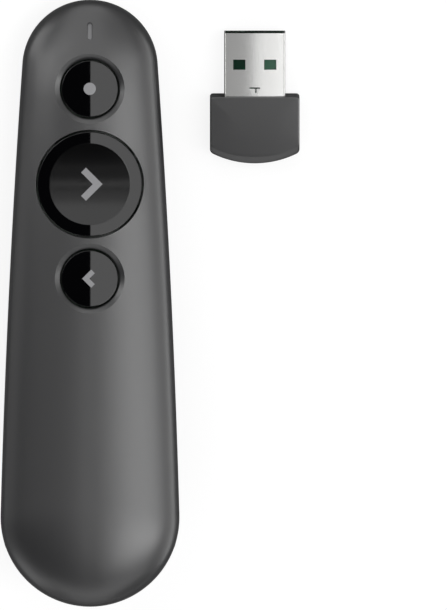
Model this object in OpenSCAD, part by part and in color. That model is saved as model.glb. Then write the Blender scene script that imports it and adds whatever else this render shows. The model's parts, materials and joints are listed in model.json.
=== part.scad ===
// Wireless presentation clicker with its plug-in radio receiver.
// The clicker lies on its back on the table, face up, nose towards +Y, and the
// receiver lies beside it. Inside the clicker all sizes are told in its own frame:
// x to the right, stations d counted from the nose tip towards the tail, and
// z out of the face, with z = 0 on the parting plane between the two shells.

/* [Body outline] */
// Radius of the round nose, seen from the front
nose_r = 13.3; // [12.6:0.1:14]
// Radius of the round tail, seen from the front
tail_r = 17.55; // [17:0.05:18.5]
// How far the long sides bow outwards between nose and tail
side_bow = 0.47; // [0.3:0.01:0.6]
// Height of the face above the parting plane
crown_h = 6.35; // [6.2:0.05:6.6]
// Squareness of the face's cross-section, 2 is an ellipse
crown_n = 2.2; // [2:0.05:2.4]
// Depth of the belly below the parting plane
belly_h = 17.7; // [17.4:0.1:19]
// Distance of the belly's deepest point from the tail tip
belly_back = 31; // [29:0.5:33]
// How much the straight run of the back deepens for each millimetre
back_slope = 0.1427; // [0.13:0.0005:0.15]
// Wall thickness of the shells and the door
wall = 1.4; // [1.2:0.05:1.5]

/* [Seams] */
// Width of the seam between rear shell and battery door
seam_gap = 0.45; // [0.3:0.05:0.6]
// Running gap between the door and what it slides past
door_gap = 0.2; // [0.15:0.05:0.3]
// Length over which the face shell wraps down round the tail
wrap_len = 13; // [10:0.5:15]

/* [Buttons] */
// Station of the laser button
laser_btn_d = 17.55; // [17:0.05:18]
// Distance from the laser button to the forward button
next_pitch = 18.65; // [18.2:0.05:20]
// Distance from the forward button to the back button
back_pitch = 18.5; // [18.2:0.05:20]
// Radius of the two small caps
small_cap_r = 5.5; // [5.2:0.05:5.7]
// Radius of the large cap
big_cap_r = 10.2; // [9.8:0.05:10.4]
// Gap all round a cap
cap_gap = 0.35; // [0.25:0.05:0.4]
// Radius of the crown that the caps share, across the body
cap_crown_r = 36; // [34:1:40]
// How far the caps' crowns lie below the shell's own crown
cap_sink = 0.1; // [0:0.05:0.2]
// Radius of the finger dish in the large cap
dish_r = 8; // [7.5:0.1:8.4]
// Width of the scooped ring in the shell round each small cap
scoop_w = 1.0; // [0.8:0.05:1.2]
// Depth of that ring at the cap
scoop_h = 0.9; // [0.6:0.05:1]
// How far a button travels
btn_travel = 0.35; // [0.25:0.05:0.4]
// Radius of the dot on the laser button
dot_r = 1.2; // [1:0.05:1.4]
// Height of the arrow on the large cap
next_sign_h = 6.5; // [6:0.1:7]
// Stroke of that arrow
next_sign_t = 1.35; // [1.2:0.05:1.5]
// Height of the arrow on the back button
back_sign_h = 3.55; // [3.2:0.05:3.8]
// Stroke of that arrow
back_sign_t = 1; // [0.8:0.05:1.1]
// Depth of the inlaid signs
inlay_h = 0.5; // [0.3:0.05:0.6]

/* [Electronics] */
// Height of the circuit board's top face above the parting plane
board_top = 2.4; // [2.2:0.05:2.5]
// Thickness of the circuit board
board_t = 0.8; // [0.6:0.1:1]
// Radius of the laser barrel
laser_r = 2.1; // [1.9:0.05:2.5]
// Length of the laser barrel
laser_len = 10.5; // [9:0.5:11]
// Radius of the laser's window in the nose
window_r = 1.2; // [1:0.1:1.4]
// Width of the status light's slot
led_w = 1.05; // [0.9:0.05:1.3]
// Length of the status light's slot
led_len = 3.4; // [3:0.05:3.8]

/* [Battery] */
// Radius of an AAA cell over its sleeve
cell_r = 5.25; // [5.1:0.05:5.25]
// Length of an AAA cell over its contacts
cell_len = 44.5; // [43.5:0.1:44.5]
// Width of the receiver's bay beside the cell
bay_w = 7; // [6.8:0.1:7.2]
// Length of the pressed spring behind the cell
spring_l = 2.8; // [2.4:0.1:3.2]
// Room between the cell's tip and the tail tip
tail_room = 8; // [7.6:0.1:10]

/* [Receiver] */
// Width of the receiver's housing
rx_w = 17.6; // [16:0.1:18]
// Length of the housing on its centre line
rx_len = 13.2; // [12:0.1:14]
// Thickness of the housing
rx_t = 6.4; // [6:0.1:6.8]
// Radius of the housing's corners, seen from above
rx_corner_r = 0.6; // [0.4:0.1:0.8]
// Width of the plug's metal shield
plug_w = 12; // [11.9:0.05:12.1]
// Thickness of the plug's metal shield
plug_t = 4.5; // [4.4:0.05:4.6]
// Length of the plug outside the housing
plug_len = 12.5; // [12:0.1:13]
// Distance of the receiver's centre line from the clicker's
rx_x = 32.3; // [30:0.1:36]
// How far the receiver's middle lies ahead of the clicker's
rx_ahead = 41.4; // [30:0.1:42]

/* [Hidden] */
$fn = 64;

// Lofting
arc_steps = 22;      // facets over half a cross-section
end_steps = 15;      // stations on each side of the seam
tip = 0.02;          // the first and last stations lie this far inside the tips
over = 1;            // how far a cutter runs past what it cuts
nose_sweep = 20;     // over this length the nose rises to its full section
belly_blend = 10;    // over this length the straight back levels into the belly

// ---- How the length adds up, from the nose: three buttons, the board's end, the tray's
// ---- wall, the spring, the cell and the room behind it

end_t = 1;
board_past_cap = 1.4;
board_to_tray = 1.1;
next_btn_d = laser_btn_d + next_pitch;
back_btn_d = next_btn_d + back_pitch;
board_d1 = back_btn_d + small_cap_r + board_past_cap;
tray_d0 = board_d1 + board_to_tray;
cell_d0 = tray_d0 + end_t + spring_l;
cell_d1 = cell_d0 + cell_len;
body_len = cell_d1 + tail_room;
seam_d = cell_d0;
wrap_d = body_len - wrap_len;
belly_d = body_len - belly_back;

// Pose on the table: the straight run of the back lies flat
rest_tilt = atan(back_slope);
mid_d = body_len / 2;

// ---- Outline of the body, as functions of the station d ----

side_angle = asin((tail_r - nose_r) / (body_len - tail_r - nose_r));
nose_tan_d = nose_r * (1 - sin(side_angle));
tail_tan_d = body_len - tail_r * (1 + sin(side_angle));

function y_at(d) = body_len / 2 - d;

function side_w(d) =
    let (s = (d - nose_tan_d) / (tail_tan_d - nose_tan_d))
    (nose_r + (tail_r - nose_r) * s) * cos(side_angle) + 4 * side_bow * s * (1 - s);

function half_w(d) =
    d < nose_tan_d ? sqrt(max(0, pow(nose_r, 2) - pow(nose_r - d, 2)))
    : d > tail_tan_d ? sqrt(max(0, pow(tail_r, 2) - pow(d - body_len + tail_r, 2)))
    : side_w(d);

function rise(u) = 1 - pow(1 - min(1, max(0, u)), 2);

function front_h(d) = crown_h * pow(rise(d / nose_sweep), 0.333)
                              * pow(rise((body_len - d) / nose_sweep), 0.28);

function straight_back(d) = belly_h + back_slope * (belly_blend / 2 - (belly_d - d));

function back_h(d) =
    d < nose_sweep ? straight_back(d) * rise(d / nose_sweep)
    : d < belly_d - belly_blend ? straight_back(d)
    : d < belly_d ? straight_back(d)
        - back_slope * pow(d - belly_d + belly_blend, 2) / (2 * belly_blend)
    : belly_h * pow(max(0, 1 - pow((d - belly_d) / (body_len - belly_d), 2.2)), 1 / 1.4);

// Height of the face over the point x of station d
function face_z(x, d) = front_h(d) * pow(max(0, 1 - pow(abs(x) / half_w(d), crown_n)), 1 / crown_n);

// The inside of the wall: the same outline, drawn in by the wall
function outer_d(d) = (d - wall) * body_len / (body_len - 2 * wall);
function drawn_in(h) = h - min(wall, h / 2);
function in_w(d) = drawn_in(half_w(outer_d(d)));
function in_front(d) = drawn_in(front_h(outer_d(d)));
function in_back(d) = drawn_in(back_h(outer_d(d)));
function roof_w(d, z) = in_w(d) * pow(max(0, 1 - pow(z / in_front(d), crown_n)), 1 / crown_n);

// ---- Sections and skins ----

function upper_arc(w, h) = [for (k = [0:arc_steps]) let (a = 180 * k / arc_steps)
    [w * sign(cos(a)) * pow(abs(cos(a)), 2 / crown_n), h * pow(abs(sin(a)), 2 / crown_n)]];
function lower_arc(w, h, first = 0) = [for (k = [first:arc_steps - first]) let (a = 180 * k / arc_steps)
    [-w * cos(a), -h * abs(sin(a))]];
function whole_arc(w, up, down) = concat(upper_arc(w, up), lower_arc(w, down, 1));
function ring(section, d) = [for (p = section) [p[0], y_at(d), p[1]]];

function spread(a, b) = [for (k = [0:end_steps]) a + (b - a) * (1 - cos(90 * k / end_steps))];
function backwards(v) = [for (k = [len(v) - 1:-1:0]) v[k]];
nose_stations = spread(tip, seam_d);
tail_stations = backwards(spread(body_len - tip, seam_d + seam_gap));
in_nose_stations = spread(wall + tip, seam_d + over);
in_tail_stations = backwards(spread(body_len - wall - tip, seam_d - over));
whole_stations = concat(nose_stations, tail_stations);
in_whole_stations = concat(spread(wall + tip, seam_d), backwards(spread(body_len - wall - tip, seam_d + seam_gap)));

// A closed solid over rings of equal point count, listed from nose to tail
module skin(rings) {
    n = len(rings[0]);
    m = len(rings);
    sides = [for (i = [0:m - 2]) for (j = [0:n - 1])
        let (a = i * n + j, b = i * n + (j + 1) % n)
        each [[a, b + n, b], [a, a + n, b + n]]];
    first = [for (j = [1:n - 2]) [0, j, j + 1]];
    last = [for (j = [1:n - 2]) [(m - 1) * n, (m - 1) * n + j + 1, (m - 1) * n + j]];
    polyhedron([for (r = rings) each r], concat(sides, first, last), convexity = 6);
}

module whole_body() {
    skin([for (d = whole_stations) ring(whole_arc(half_w(d), front_h(d), back_h(d)), d)]);
}

module whole_hollow() {
    skin([for (d = in_whole_stations) ring(whole_arc(in_w(d), in_front(d), in_back(d)), d)]);
}

module back_half(stations) {
    skin([for (d = stations) ring(lower_arc(half_w(d), back_h(d)), d)]);
}

// Drawn in further by more, and open upwards
module back_hollow(stations, more = 0) {
    skin([for (d = stations)
        ring(concat(lower_arc(in_w(d) - more, in_back(d) - more),
                    [[in_w(d) - more, over], [more - in_w(d), over]]), d)]);
}

// A box between two stations
module slab(x0, x1, d0, d1, z0, z1) {
    translate([x0, y_at(d1), z0]) cube([x1 - x0, d1 - d0, z1 - z0]);
}

// A cylinder along the body between two stations
module rod(r, x, z, d0, d1) {
    translate([x, y_at(d0), z]) rotate([90, 0, 0]) cylinder(r = r, h = d1 - d0);
}

// The clicker's frame laid on the table, with the origin where the middle of the back touches it
module at_rest() {
    h = back_h(mid_d);
    translate([0, h * sin(rest_tilt), h * cos(rest_tilt)]) rotate([-rest_tilt, 0, 0]) children();
}

// ---- Laser, lamp and board places ----

board_bottom = board_top - board_t;
holder_wall = 0.4;
laser_z = board_bottom - holder_wall - laser_r;
laser_d = 12;
lens_depth = 2;
holder_d0 = 14.5;
holder_d1 = 20.5;
holder_w = 8;
window_d0 = 4;
window_d1 = 7;
fit_gap = 0.05;
led_d = 6.25;
led_sink = 0.25;
led_chip = [1, 1.3, 0.5];
board_d0 = 5.6;
board_gap = 0.4;
switch_side = 4.2;
switch_r = 1.6;
switch_h = 0.6;
stem_r = 1.3;
board_screw_x = 8.6;
screw_past_laser = 7.25;
screw_before_back = 6.8;
board_screw_xd = [for (d = [laser_btn_d + screw_past_laser, back_btn_d - screw_before_back])
    each [[-board_screw_x, d], [board_screw_x, d]]];
stem_z = board_top + switch_h + btn_travel + fit_gap;
cap_floor_z = stem_z + 0.2;
tab_w = 3;
tab_l = 0.7;
tab_h = 0.6;
dish_depth = pow(dish_r, 2) / (2 * cap_crown_r);
next_sign_x = 0.4;
back_sign_x = -0.25;
buttons = [laser_btn_d, next_btn_d, back_btn_d];
caps_r = [small_cap_r, big_cap_r, small_cap_r];

// The chips under the board: width, length and height
radio_chip = [6, 6, 0.9];
memory_chip = [4, 4, 0.8];
crystal = [2.6, 3.2, 1.1];
power_block = [12, 8, 1.6];
memory_x = 6;
crystal_x = -6.2;

// ---- Battery bay places ----

cell_x = -5.6;
cell_z = -1.6;
nub_h = 1;
nub_r = 1.9;
sleeve_t = 0.15;
contact_t = 0.4;
tray_t = 0.8;
tray_d1 = cell_d1 + contact_t;
divider_x = cell_x + cell_r + 0.2;
bay_x = divider_x + tray_t;
bay_d1 = cell_d1 - 11;
bay_roof_z = 3.4;
tray_low_z = -6;
ear_z = -1;
ear_r = 2.2;
post_r = 1.7;
screw_r = 0.65;
head_r = 1.5;
head_h = 0.8;
screw_bite = 1.6;
plate_side = 7;
wire_r = 0.3;
coil_r = [4.2, 2.2];
far_ear_r = 1.7;
ear_x = bay_x + bay_w + tray_t + ear_r + 0.4;
ear_insets = [6.5, 5, 3];
case_screw_xd = [[ear_x, cell_d0 + ear_insets[0]], [ear_x, bay_d1 - ear_insets[1]],
                 [cell_x - cell_r - far_ear_r, cell_d0 + ear_insets[2]]];

// ---- Shells ----

module screw_post(x, d, z, r) {
    translate([x, y_at(d), z])
        cylinder(r = r, h = face_z(abs(x) + r, d) - wall / 4 - z);
}

module screw_bore(x, d, z) {
    translate([x, y_at(d), z - over]) cylinder(r = screw_r + fit_gap, h = over + 2);
}

// The scooped ring round a small cap, as deep as scoop_h at the hole and running out at its rim
module scoop(d) {
    hole_r = small_cap_r + cap_gap;
    steps = [[hole_r - 0.2, scoop_h], [hole_r + 0.1, scoop_h], [hole_r + 0.45 * scoop_w, 0.4 * scoop_h],
             [hole_r + scoop_w, 0], [hole_r + scoop_w, -over]];
    sides = 32;
    skin([for (s = steps) [for (k = [0:sides - 1]) let (a = 360 * k / sides, x = s[0] * cos(a), y = s[0] * sin(a))
        [x, y_at(d) + y, face_z(x, d - y) - s[1]]]]);
}

module led_slot(grow, z0, z1) {
    half = (led_len - led_w) / 2;
    for (s = [-half, half])
        translate([0, y_at(led_d) + s, z0]) cylinder(r = led_w / 2 + grow, h = z1 - z0);
    slab(-led_w / 2 - grow, led_w / 2 + grow, led_d - half, led_d + half, z0, z1);
}

lip_d0 = 10;

// The lip along the inner edge of the face shell that centres the rear shell
module centring_lip() {
    lip_t = 0.6;
    lip_h = 0.8;
    lip_gap = 0.15;
    lip_step = 4;
    ds = [for (d = [lip_d0:lip_step:seam_d - lip_step]) d];
    for (side = [-1, 1]) {
        inner = backwards([for (d = ds) [side * (in_w(d) - lip_gap - lip_t), y_at(d)]]);
        lower = concat([for (d = ds) [side * (in_w(d) - lip_gap), y_at(d)]], inner);
        upper = concat([for (d = ds) [side * (in_w(d) + wall / 3), y_at(d)]], inner);
        translate([0, 0, -lip_h]) linear_extrude(lip_h + 0.1) polygon(lower);
        linear_extrude(0.6) polygon(upper);
    }
}

// Cuts straight across the body along an outline of [station, height] points, seen from the side
module side_cut(points) {
    rotate([90, 0, 90]) translate([0, 0, -tail_r - over]) linear_extrude(2 * (tail_r + over))
        polygon([for (p = points) [y_at(p[0]), p[1]]]);
}

// The line that parts the face shell from what lies under it, lowered by shift. Round the tail it
// slants down as the door slides
past_tail = body_len + over;
function part_line(shift) = [[-over, -shift], [wrap_d, -shift],
                             [past_tail, -shift - tan(rest_tilt) * (past_tail - wrap_d)]];

module front_shell() {
    low = -belly_h - over;
    color([0.17, 0.17, 0.175]) at_rest() difference() {
        union() {
            difference() {
                whole_body();
                whole_hollow();
                side_cut(concat(part_line(0), [[past_tail, low], [-over, low]]));
            }
            centring_lip();
            for (p = board_screw_xd) screw_post(p[0], p[1], board_top, post_r);
            for (p = case_screw_xd) screw_post(p[0], p[1], ear_z, post_r);
        }
        for (k = [0:2])
            translate([0, y_at(buttons[k]), 0]) cylinder(r = caps_r[k] + cap_gap, h = crown_h + over);
        scoop(laser_btn_d);
        scoop(back_btn_d);
        led_slot(0, board_top, crown_h);
        rod(window_r + fit_gap, 0, laser_z, -over, holder_d0);
        for (p = board_screw_xd) screw_bore(p[0], p[1], board_top);
        for (p = case_screw_xd) screw_bore(p[0], p[1], ear_z);
    }
}

module rear_shell() {
    color([0.16, 0.16, 0.165]) at_rest() difference() {
        back_half(nose_stations);
        back_hollow(in_nose_stations);
        rod(window_r + fit_gap, 0, laser_z, -over, holder_d0);
    }
}

// A shallow long oval for the finger, pressed into the side of the door
grip_past_seam = 7.7;

module grip_recess(side) {
    depth = 0.5;
    tall = 4.5;
    long = 11.3;
    d = seam_d + grip_past_seam;
    z = -4.6;
    r = (pow(tall / 2, 2) + pow(depth, 2)) / (2 * depth);
    x = half_w(d) * sqrt(1 - pow(z / back_h(d), 2));
    lean = atan2(-z / pow(back_h(d), 2), x / pow(half_w(d), 2));
    taper = side_angle * 1.1;
    half = (long - tall) / 2;
    translate([side * (x + (r - depth) * cos(lean)), y_at(d), z - (r - depth) * sin(lean)])
        rotate([0, 0, side * taper]) {
            rotate([90, 0, 0]) cylinder(r = r, h = 2 * half, center = true);
            for (s = [-half, half]) translate([0, s, 0]) sphere(r = r);
        }
}

module battery_door() {
    tongue_t = 0.8;
    tongue_d0 = seam_d - 1.2;
    tongue_d1 = seam_d + seam_gap + 1.5;
    high = 2 * over;
    color([0.165, 0.165, 0.17]) at_rest() {
        difference() {
            union() {
                difference() {
                    back_half(tail_stations);
                    back_hollow(in_tail_stations);
                }
                difference() {
                    union() {
                        back_hollow([tongue_d0, tongue_d1], door_gap);
                        back_hollow([seam_d + seam_gap, tongue_d1], -wall / 2);
                    }
                    back_hollow([tongue_d0 - over, tongue_d1 + over], door_gap + tongue_t);
                    slab(-tail_r, tail_r, tongue_d0 - over, tongue_d1 + over, -2, 2 * over);
                }
            }
            side_cut(concat(part_line(door_gap), [[past_tail, high], [-over, high]]));
            for (side = [-1, 1]) grip_recess(side);
        }
    }
}

// ---- Buttons ----

module cap_body(d, r) {
    top = front_h(d) - cap_sink;
    translate([0, y_at(d), 0]) {
        intersection() {
            translate([0, 0, cap_floor_z]) cylinder(r = r, h = crown_h);
            translate([0, 0, top - cap_crown_r]) rotate([90, 0, 0])
                cylinder(r = cap_crown_r, h = 2 * r + 2 * over, center = true, $fn = 360);
        }
        translate([0, 0, stem_z]) cylinder(r = stem_r, h = cap_floor_z - stem_z + 0.1);
        translate([-tab_w / 2, -r - tab_l, cap_floor_z]) cube([tab_w, 2 * (r + tab_l), tab_h]);
    }
}

module crown_of(d) {
    translate([0, y_at(d), front_h(d) - cap_sink - cap_crown_r]) rotate([90, 0, 0])
        cylinder(r = cap_crown_r, h = 4 * big_cap_r, center = true, $fn = 360);
}

// The dish is hollow along the body by as much as the crown is round across it, so its rim is a true circle
module dish_roller() {
    top = front_h(next_btn_d) - cap_sink;
    translate([0, y_at(next_btn_d), top - dish_depth + cap_crown_r]) rotate([0, 90, 0])
        cylinder(r = cap_crown_r, h = 4 * big_cap_r, center = true, $fn = 360);
}

// An arrow head of the given height, width and stroke, pointing right, centred on the origin
module arrow(high, stroke) {
    w = high / 2 + stroke / sqrt(2);
    s = stroke / sqrt(2);
    polygon([[-w / 2, high / 2 - s], [-w / 2 + s, high / 2], [w / 2, 0], [-w / 2 + s, -high / 2],
             [-w / 2, -high / 2 + s], [w / 2 - 2 * s, 0]]);
}

module dot_prism(z0) {
    translate([0, y_at(laser_btn_d), z0]) cylinder(r = dot_r, h = crown_h);
}

module next_prism(z0) {
    translate([next_sign_x, y_at(next_btn_d), z0]) linear_extrude(crown_h) arrow(next_sign_h, next_sign_t);
}

module back_prism(z0) {
    translate([back_sign_x, y_at(back_btn_d), z0]) linear_extrude(crown_h)
        mirror([1, 0]) arrow(back_sign_h, back_sign_t);
}

module laser_cap() {
    color([0.05, 0.05, 0.055]) at_rest() difference() {
        cap_body(laser_btn_d, small_cap_r);
        dot_prism(front_h(laser_btn_d) - cap_sink - inlay_h);
    }
}

module laser_dot() {
    color([0.68, 0.68, 0.69]) at_rest() intersection() {
        dot_prism(front_h(laser_btn_d) - cap_sink - inlay_h);
        crown_of(laser_btn_d);
    }
}

module next_cap() {
    color([0.05, 0.05, 0.055]) at_rest() difference() {
        cap_body(next_btn_d, big_cap_r);
        dish_roller();
        next_prism(front_h(next_btn_d) - dish_depth - inlay_h - 0.5);
    }
}

module next_arrow() {
    color([0.68, 0.68, 0.69]) at_rest() difference() {
        intersection() {
            next_prism(front_h(next_btn_d) - dish_depth - inlay_h - 0.5);
            crown_of(next_btn_d);
        }
        dish_roller();
    }
}

module back_cap() {
    color([0.05, 0.05, 0.055]) at_rest() difference() {
        cap_body(back_btn_d, small_cap_r);
        back_prism(front_h(back_btn_d) - cap_sink - inlay_h);
    }
}

module back_arrow() {
    color([0.68, 0.68, 0.69]) at_rest() intersection() {
        back_prism(front_h(back_btn_d) - cap_sink - inlay_h);
        crown_of(back_btn_d);
    }
}

// ---- Electronics ----

module main_board() {
    ds = concat([board_d0, board_d0 + 1.2], [for (d = [board_d0 + 3:4:board_d1]) d], [board_d1]);
    half = [for (d = ds) [roof_w(d, board_top) - board_gap, y_at(d)]];
    color([0.05, 0.32, 0.16]) at_rest() difference() {
        translate([0, 0, board_bottom]) linear_extrude(board_t)
            polygon(concat(half, backwards([for (p = half) [-p[0], p[1]]])));
        for (p = board_screw_xd)
            translate([p[0], y_at(p[1]), board_bottom - over]) cylinder(r = screw_r + 0.15, h = board_t + 2 * over);
    }
}

module button_switches() {
    color([0.75, 0.75, 0.76]) at_rest() for (d = buttons) {
        slab(-switch_side / 2, switch_side / 2, d - switch_side / 2, d + switch_side / 2,
             board_top, board_top + switch_h / 2);
        translate([0, y_at(d), board_top]) cylinder(r = switch_r, h = switch_h);
    }
}

// A chip under the board, centred on x and the station d
module chip(x, d, size) {
    slab(x - size[0] / 2, x + size[0] / 2, d - size[1] / 2, d + size[1] / 2, board_bottom - size[2], board_bottom);
}

module board_chips() {
    color([0.08, 0.08, 0.09]) at_rest() {
        chip(0, next_btn_d - radio_chip[1] / 2, radio_chip);
        chip(memory_x, next_btn_d - memory_chip[1] / 4, memory_chip);
        chip(crystal_x, next_btn_d + radio_chip[1] / 2 + crystal[1] / 2, crystal);
        chip(0, back_btn_d, power_block);
    }
}

module status_led() {
    color([0.9, 0.9, 0.85]) at_rest()
        slab(-led_chip[0] / 2, led_chip[0] / 2, led_d - 0.4, led_d - 0.4 + led_chip[1],
             board_top, board_top + led_chip[2]);
}

module led_lens() {
    top = face_z(0, led_d - led_len / 2) - led_sink;
    color([0.55, 0.55, 0.57]) at_rest() led_slot(-fit_gap, board_top + led_chip[2] + 0.1, top);
}

module laser_window() {
    color([0.25, 0.03, 0.04]) at_rest() rod(window_r, 0, laser_z, window_d0, window_d1);
}

module laser_barrel() {
    color([0.8, 0.65, 0.3]) at_rest() difference() {
        rod(laser_r, 0, laser_z, laser_d, laser_d + laser_len);
        rod(laser_r / 2, 0, laser_z, laser_d - over, laser_d + lens_depth);
    }
}

module laser_holder() {
    color([0.12, 0.12, 0.13]) at_rest() difference() {
        slab(-holder_w / 2, holder_w / 2, holder_d0, holder_d1, laser_z - laser_r - holder_wall, board_bottom);
        rod(laser_r, 0, laser_z, holder_d0 - over, holder_d1 + over);
    }
}

// A pan-head screw pointing up from z, with its head below
module screw(x, d, z, length) {
    translate([x, y_at(d), z - head_h]) cylinder(r = head_r, h = head_h);
    translate([x, y_at(d), z - 0.1]) cylinder(r = screw_r, h = length);
}

module board_screws() {
    color([0.6, 0.6, 0.62]) at_rest() for (p = board_screw_xd) screw(p[0], p[1], board_bottom, board_t + screw_bite);
}

module case_screws() {
    color([0.6, 0.6, 0.62]) at_rest() for (p = case_screw_xd) screw(p[0], p[1], ear_z - tray_t, tray_t + screw_bite);
}

// ---- Battery and its tray ----

function end_section(d, low) = [for (p = concat(upper_arc(in_w(d) - 0.3, in_front(d) - 0.3),
                                               lower_arc(in_w(d) - 0.3, in_back(d) - 0.3))) [p[0], max(p[1], low)]];

module end_wall(d0, d1, low) {
    d = d0 > mid_d + 30 ? d1 : d0;
    translate([0, y_at(d0), 0]) rotate([90, 0, 0]) linear_extrude(d1 - d0) polygon(end_section(d, low));
}

module battery_tray() {
    color([0.1, 0.1, 0.11]) at_rest() difference() {
        union() {
            end_wall(tray_d0, tray_d0 + end_t, -in_back(tray_d0) + 1.5);
            intersection() {
                end_wall(tray_d1, tray_d1 + end_t, tray_low_z);
                slab(cell_x - cell_r, bay_x + bay_w, tray_d1, tray_d1 + end_t, tray_low_z, crown_h);
            }
            slab(divider_x, divider_x + tray_t, tray_d0, tray_d1 + end_t, tray_low_z, bay_roof_z - 0.4);
            slab(divider_x, bay_x + bay_w + tray_t, tray_d0, bay_d1, bay_roof_z, bay_roof_z + 0.7);
            slab(divider_x, divider_x + tray_t, tray_d0, bay_d1, bay_roof_z - 0.5, bay_roof_z + 0.1);
            slab(bay_x + bay_w, bay_x + bay_w + tray_t, tray_d0, bay_d1, tray_low_z, bay_roof_z + 0.3);
            for (k = [0:1]) {
                p = case_screw_xd[k];
                slab(bay_x + bay_w, p[0], p[1] - ear_r, p[1] + ear_r, ear_z - tray_t, ear_z);
                translate([p[0], y_at(p[1]), ear_z - tray_t]) cylinder(r = ear_r, h = tray_t);
            }
            far = case_screw_xd[2];
            slab(far[0] - far_ear_r, far[0] + far_ear_r - 0.2, tray_d0, far[1], ear_z - tray_t, ear_z);
            translate([far[0], y_at(far[1]), ear_z - tray_t]) cylinder(r = far_ear_r, h = tray_t);
        }
        for (p = case_screw_xd)
            translate([p[0], y_at(p[1]), ear_z - tray_t - over]) cylinder(r = screw_r + 0.15, h = tray_t + 2 * over);
    }
}

module battery_cell() {
    color([0.75, 0.75, 0.77]) at_rest() {
        rod(cell_r - sleeve_t, cell_x, cell_z, cell_d0, cell_d1 - nub_h);
        rod(nub_r, cell_x, cell_z, cell_d1 - nub_h - 0.1, cell_d1);
    }
}

module battery_sleeve() {
    color([0.2, 0.3, 0.42]) at_rest() difference() {
        rod(cell_r, cell_x, cell_z, cell_d0 + 0.4, cell_d1 - nub_h - 0.4);
        rod(cell_r - sleeve_t, cell_x, cell_z, cell_d0, cell_d1);
    }
}

module positive_contact() {
    color([0.8, 0.8, 0.8]) at_rest()
        slab(cell_x - plate_side / 2, cell_x + plate_side / 2, cell_d1, cell_d1 + contact_t,
             cell_z - plate_side / 2, cell_z + plate_side / 2);
}

// A cone-shaped coil of wire, its wide end on the tray wall and its narrow end on the cell
module negative_spring() {
    turns = 2.5;
    per_turn = 16;
    sides = 8;
    steps = turns * per_turn;
    color([0.8, 0.8, 0.8]) at_rest()
        skin([for (k = [0:steps])
            let (a = 360 * k / per_turn, u = k / steps, r = coil_r[0] + (coil_r[1] - coil_r[0]) * u,
                 d = tray_d0 + end_t + wire_r + (spring_l - 2 * wire_r) * u)
            [for (j = [0:sides - 1]) let (b = 360 * j / sides, q = r + wire_r * cos(b))
                [cell_x + q * cos(a), y_at(d) + wire_r * sin(b), cell_z + q * sin(a)]]]);
}

// ---- Receiver, in its own frame: plug towards +Y, housing's base edge at y = 0 ----

rx_end_r = 18.7;
rx_chamfer = 0.5;
base_facet = 1.35;
base_drop = 0.4;
plug_wall = 0.3;
plug_root = 2.5;
plug_corner_r = 0.5;
window_w = 2.4;
window_l = 2;
window_gap = 6.07;
window_y = 6.2;
pcb_t = 0.8;
pcb_in = 8.5;
pcb_gap = 0.1;
pcb_w = plug_w - 2 * plug_wall - pcb_gap;
pcb_z = rx_t / 2 + plug_t / 2 - plug_wall - pcb_t - pcb_gap;
pcb_end = 0.5;
contact_w = 1;
contact_h = 0.15;
contact_back = 8.5;
outer_contact = [3.5, 7.4];
inner_contact = [1, 6.4];
rx_y = rx_ahead - (rx_len + plug_len) / 2;

module beside() {
    translate([rx_x, rx_y, 0]) children();
}

// Outline of the housing seen from above, drawn in by d
module rx_outline(d) {
    offset(r = rx_corner_r - d, $fn = 24) offset(delta = -rx_corner_r) intersection() {
        translate([-rx_w / 2, -over]) square([rx_w, rx_len + over]);
        translate([0, rx_end_r]) circle(r = rx_end_r, $fn = 96);
    }
}

module rx_block(z0, z1, low_chamfer, high_chamfer) {
    hull() {
        translate([0, 0, z0]) linear_extrude(0.01) rx_outline(low_chamfer);
        translate([0, 0, z0 + low_chamfer]) linear_extrude(z1 - z0 - low_chamfer - high_chamfer) rx_outline(0);
        translate([0, 0, z1 - 0.01]) linear_extrude(0.01) rx_outline(high_chamfer);
    }
}

// What the low slanting facet takes off along the rounded base edge of one outer face
module base_slant() {
    past = base_facet + over;
    translate([0, rx_end_r, rx_t]) rotate_extrude($fn = 96)
        polygon([[rx_end_r - base_facet, 0], [rx_end_r + over, -base_drop * past / base_facet],
                 [rx_end_r + over, over], [rx_end_r - base_facet, over]]);
}

// A bar with rounded corners that fills the plug's shield, drawn in by inset
module plug_bar(inset, y0, y1) {
    w = plug_w - 2 * inset;
    t = plug_t - 2 * inset;
    r = plug_corner_r - inset;
    translate([0, y1, rx_t / 2]) rotate([90, 0, 0]) linear_extrude(y1 - y0) {
        square([w - 2 * r, t], center = true);
        square([w, t - 2 * r], center = true);
        for (x = [r - w / 2, w / 2 - r]) for (z = [r - t / 2, t / 2 - r]) translate([x, z]) circle(r = r);
    }
}

module plug_room() {
    plug_bar(0, rx_len - plug_root, rx_len + plug_len);
}

module receiver_housing() {
    color([0.16, 0.16, 0.165]) beside() difference() {
        rx_block(0, rx_t / 2, rx_chamfer, 0);
        translate([0, 0, rx_t]) mirror([0, 0, 1]) base_slant();
        plug_room();
    }
}

module receiver_cover() {
    color([0.16, 0.16, 0.165]) beside() difference() {
        rx_block(rx_t / 2, rx_t, 0, rx_chamfer);
        base_slant();
        plug_room();
        translate([-plug_w / 2 + plug_wall, rx_len - pcb_in - pcb_gap, pcb_z - pcb_gap])
            cube([plug_w - 2 * plug_wall, pcb_in, pcb_t + 2 * pcb_gap]);
    }
}

module usb_shield() {
    color([0.78, 0.78, 0.77]) beside() difference() {
        plug_room();
        plug_bar(plug_wall, rx_len - plug_root - over, rx_len + plug_len + over);
        for (side = [-1, 1])
            translate([side * window_gap / 2 - window_w / 2, rx_len + plug_len - window_y - window_l / 2, -over])
                cube([window_w, window_l, rx_t + 2 * over]);
    }
}

module receiver_board() {
    color([0.03, 0.25, 0.14]) beside()
        translate([-pcb_w / 2, rx_len - pcb_in, pcb_z])
            cube([pcb_w, pcb_in + plug_len - pcb_end, pcb_t]);
}

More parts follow.
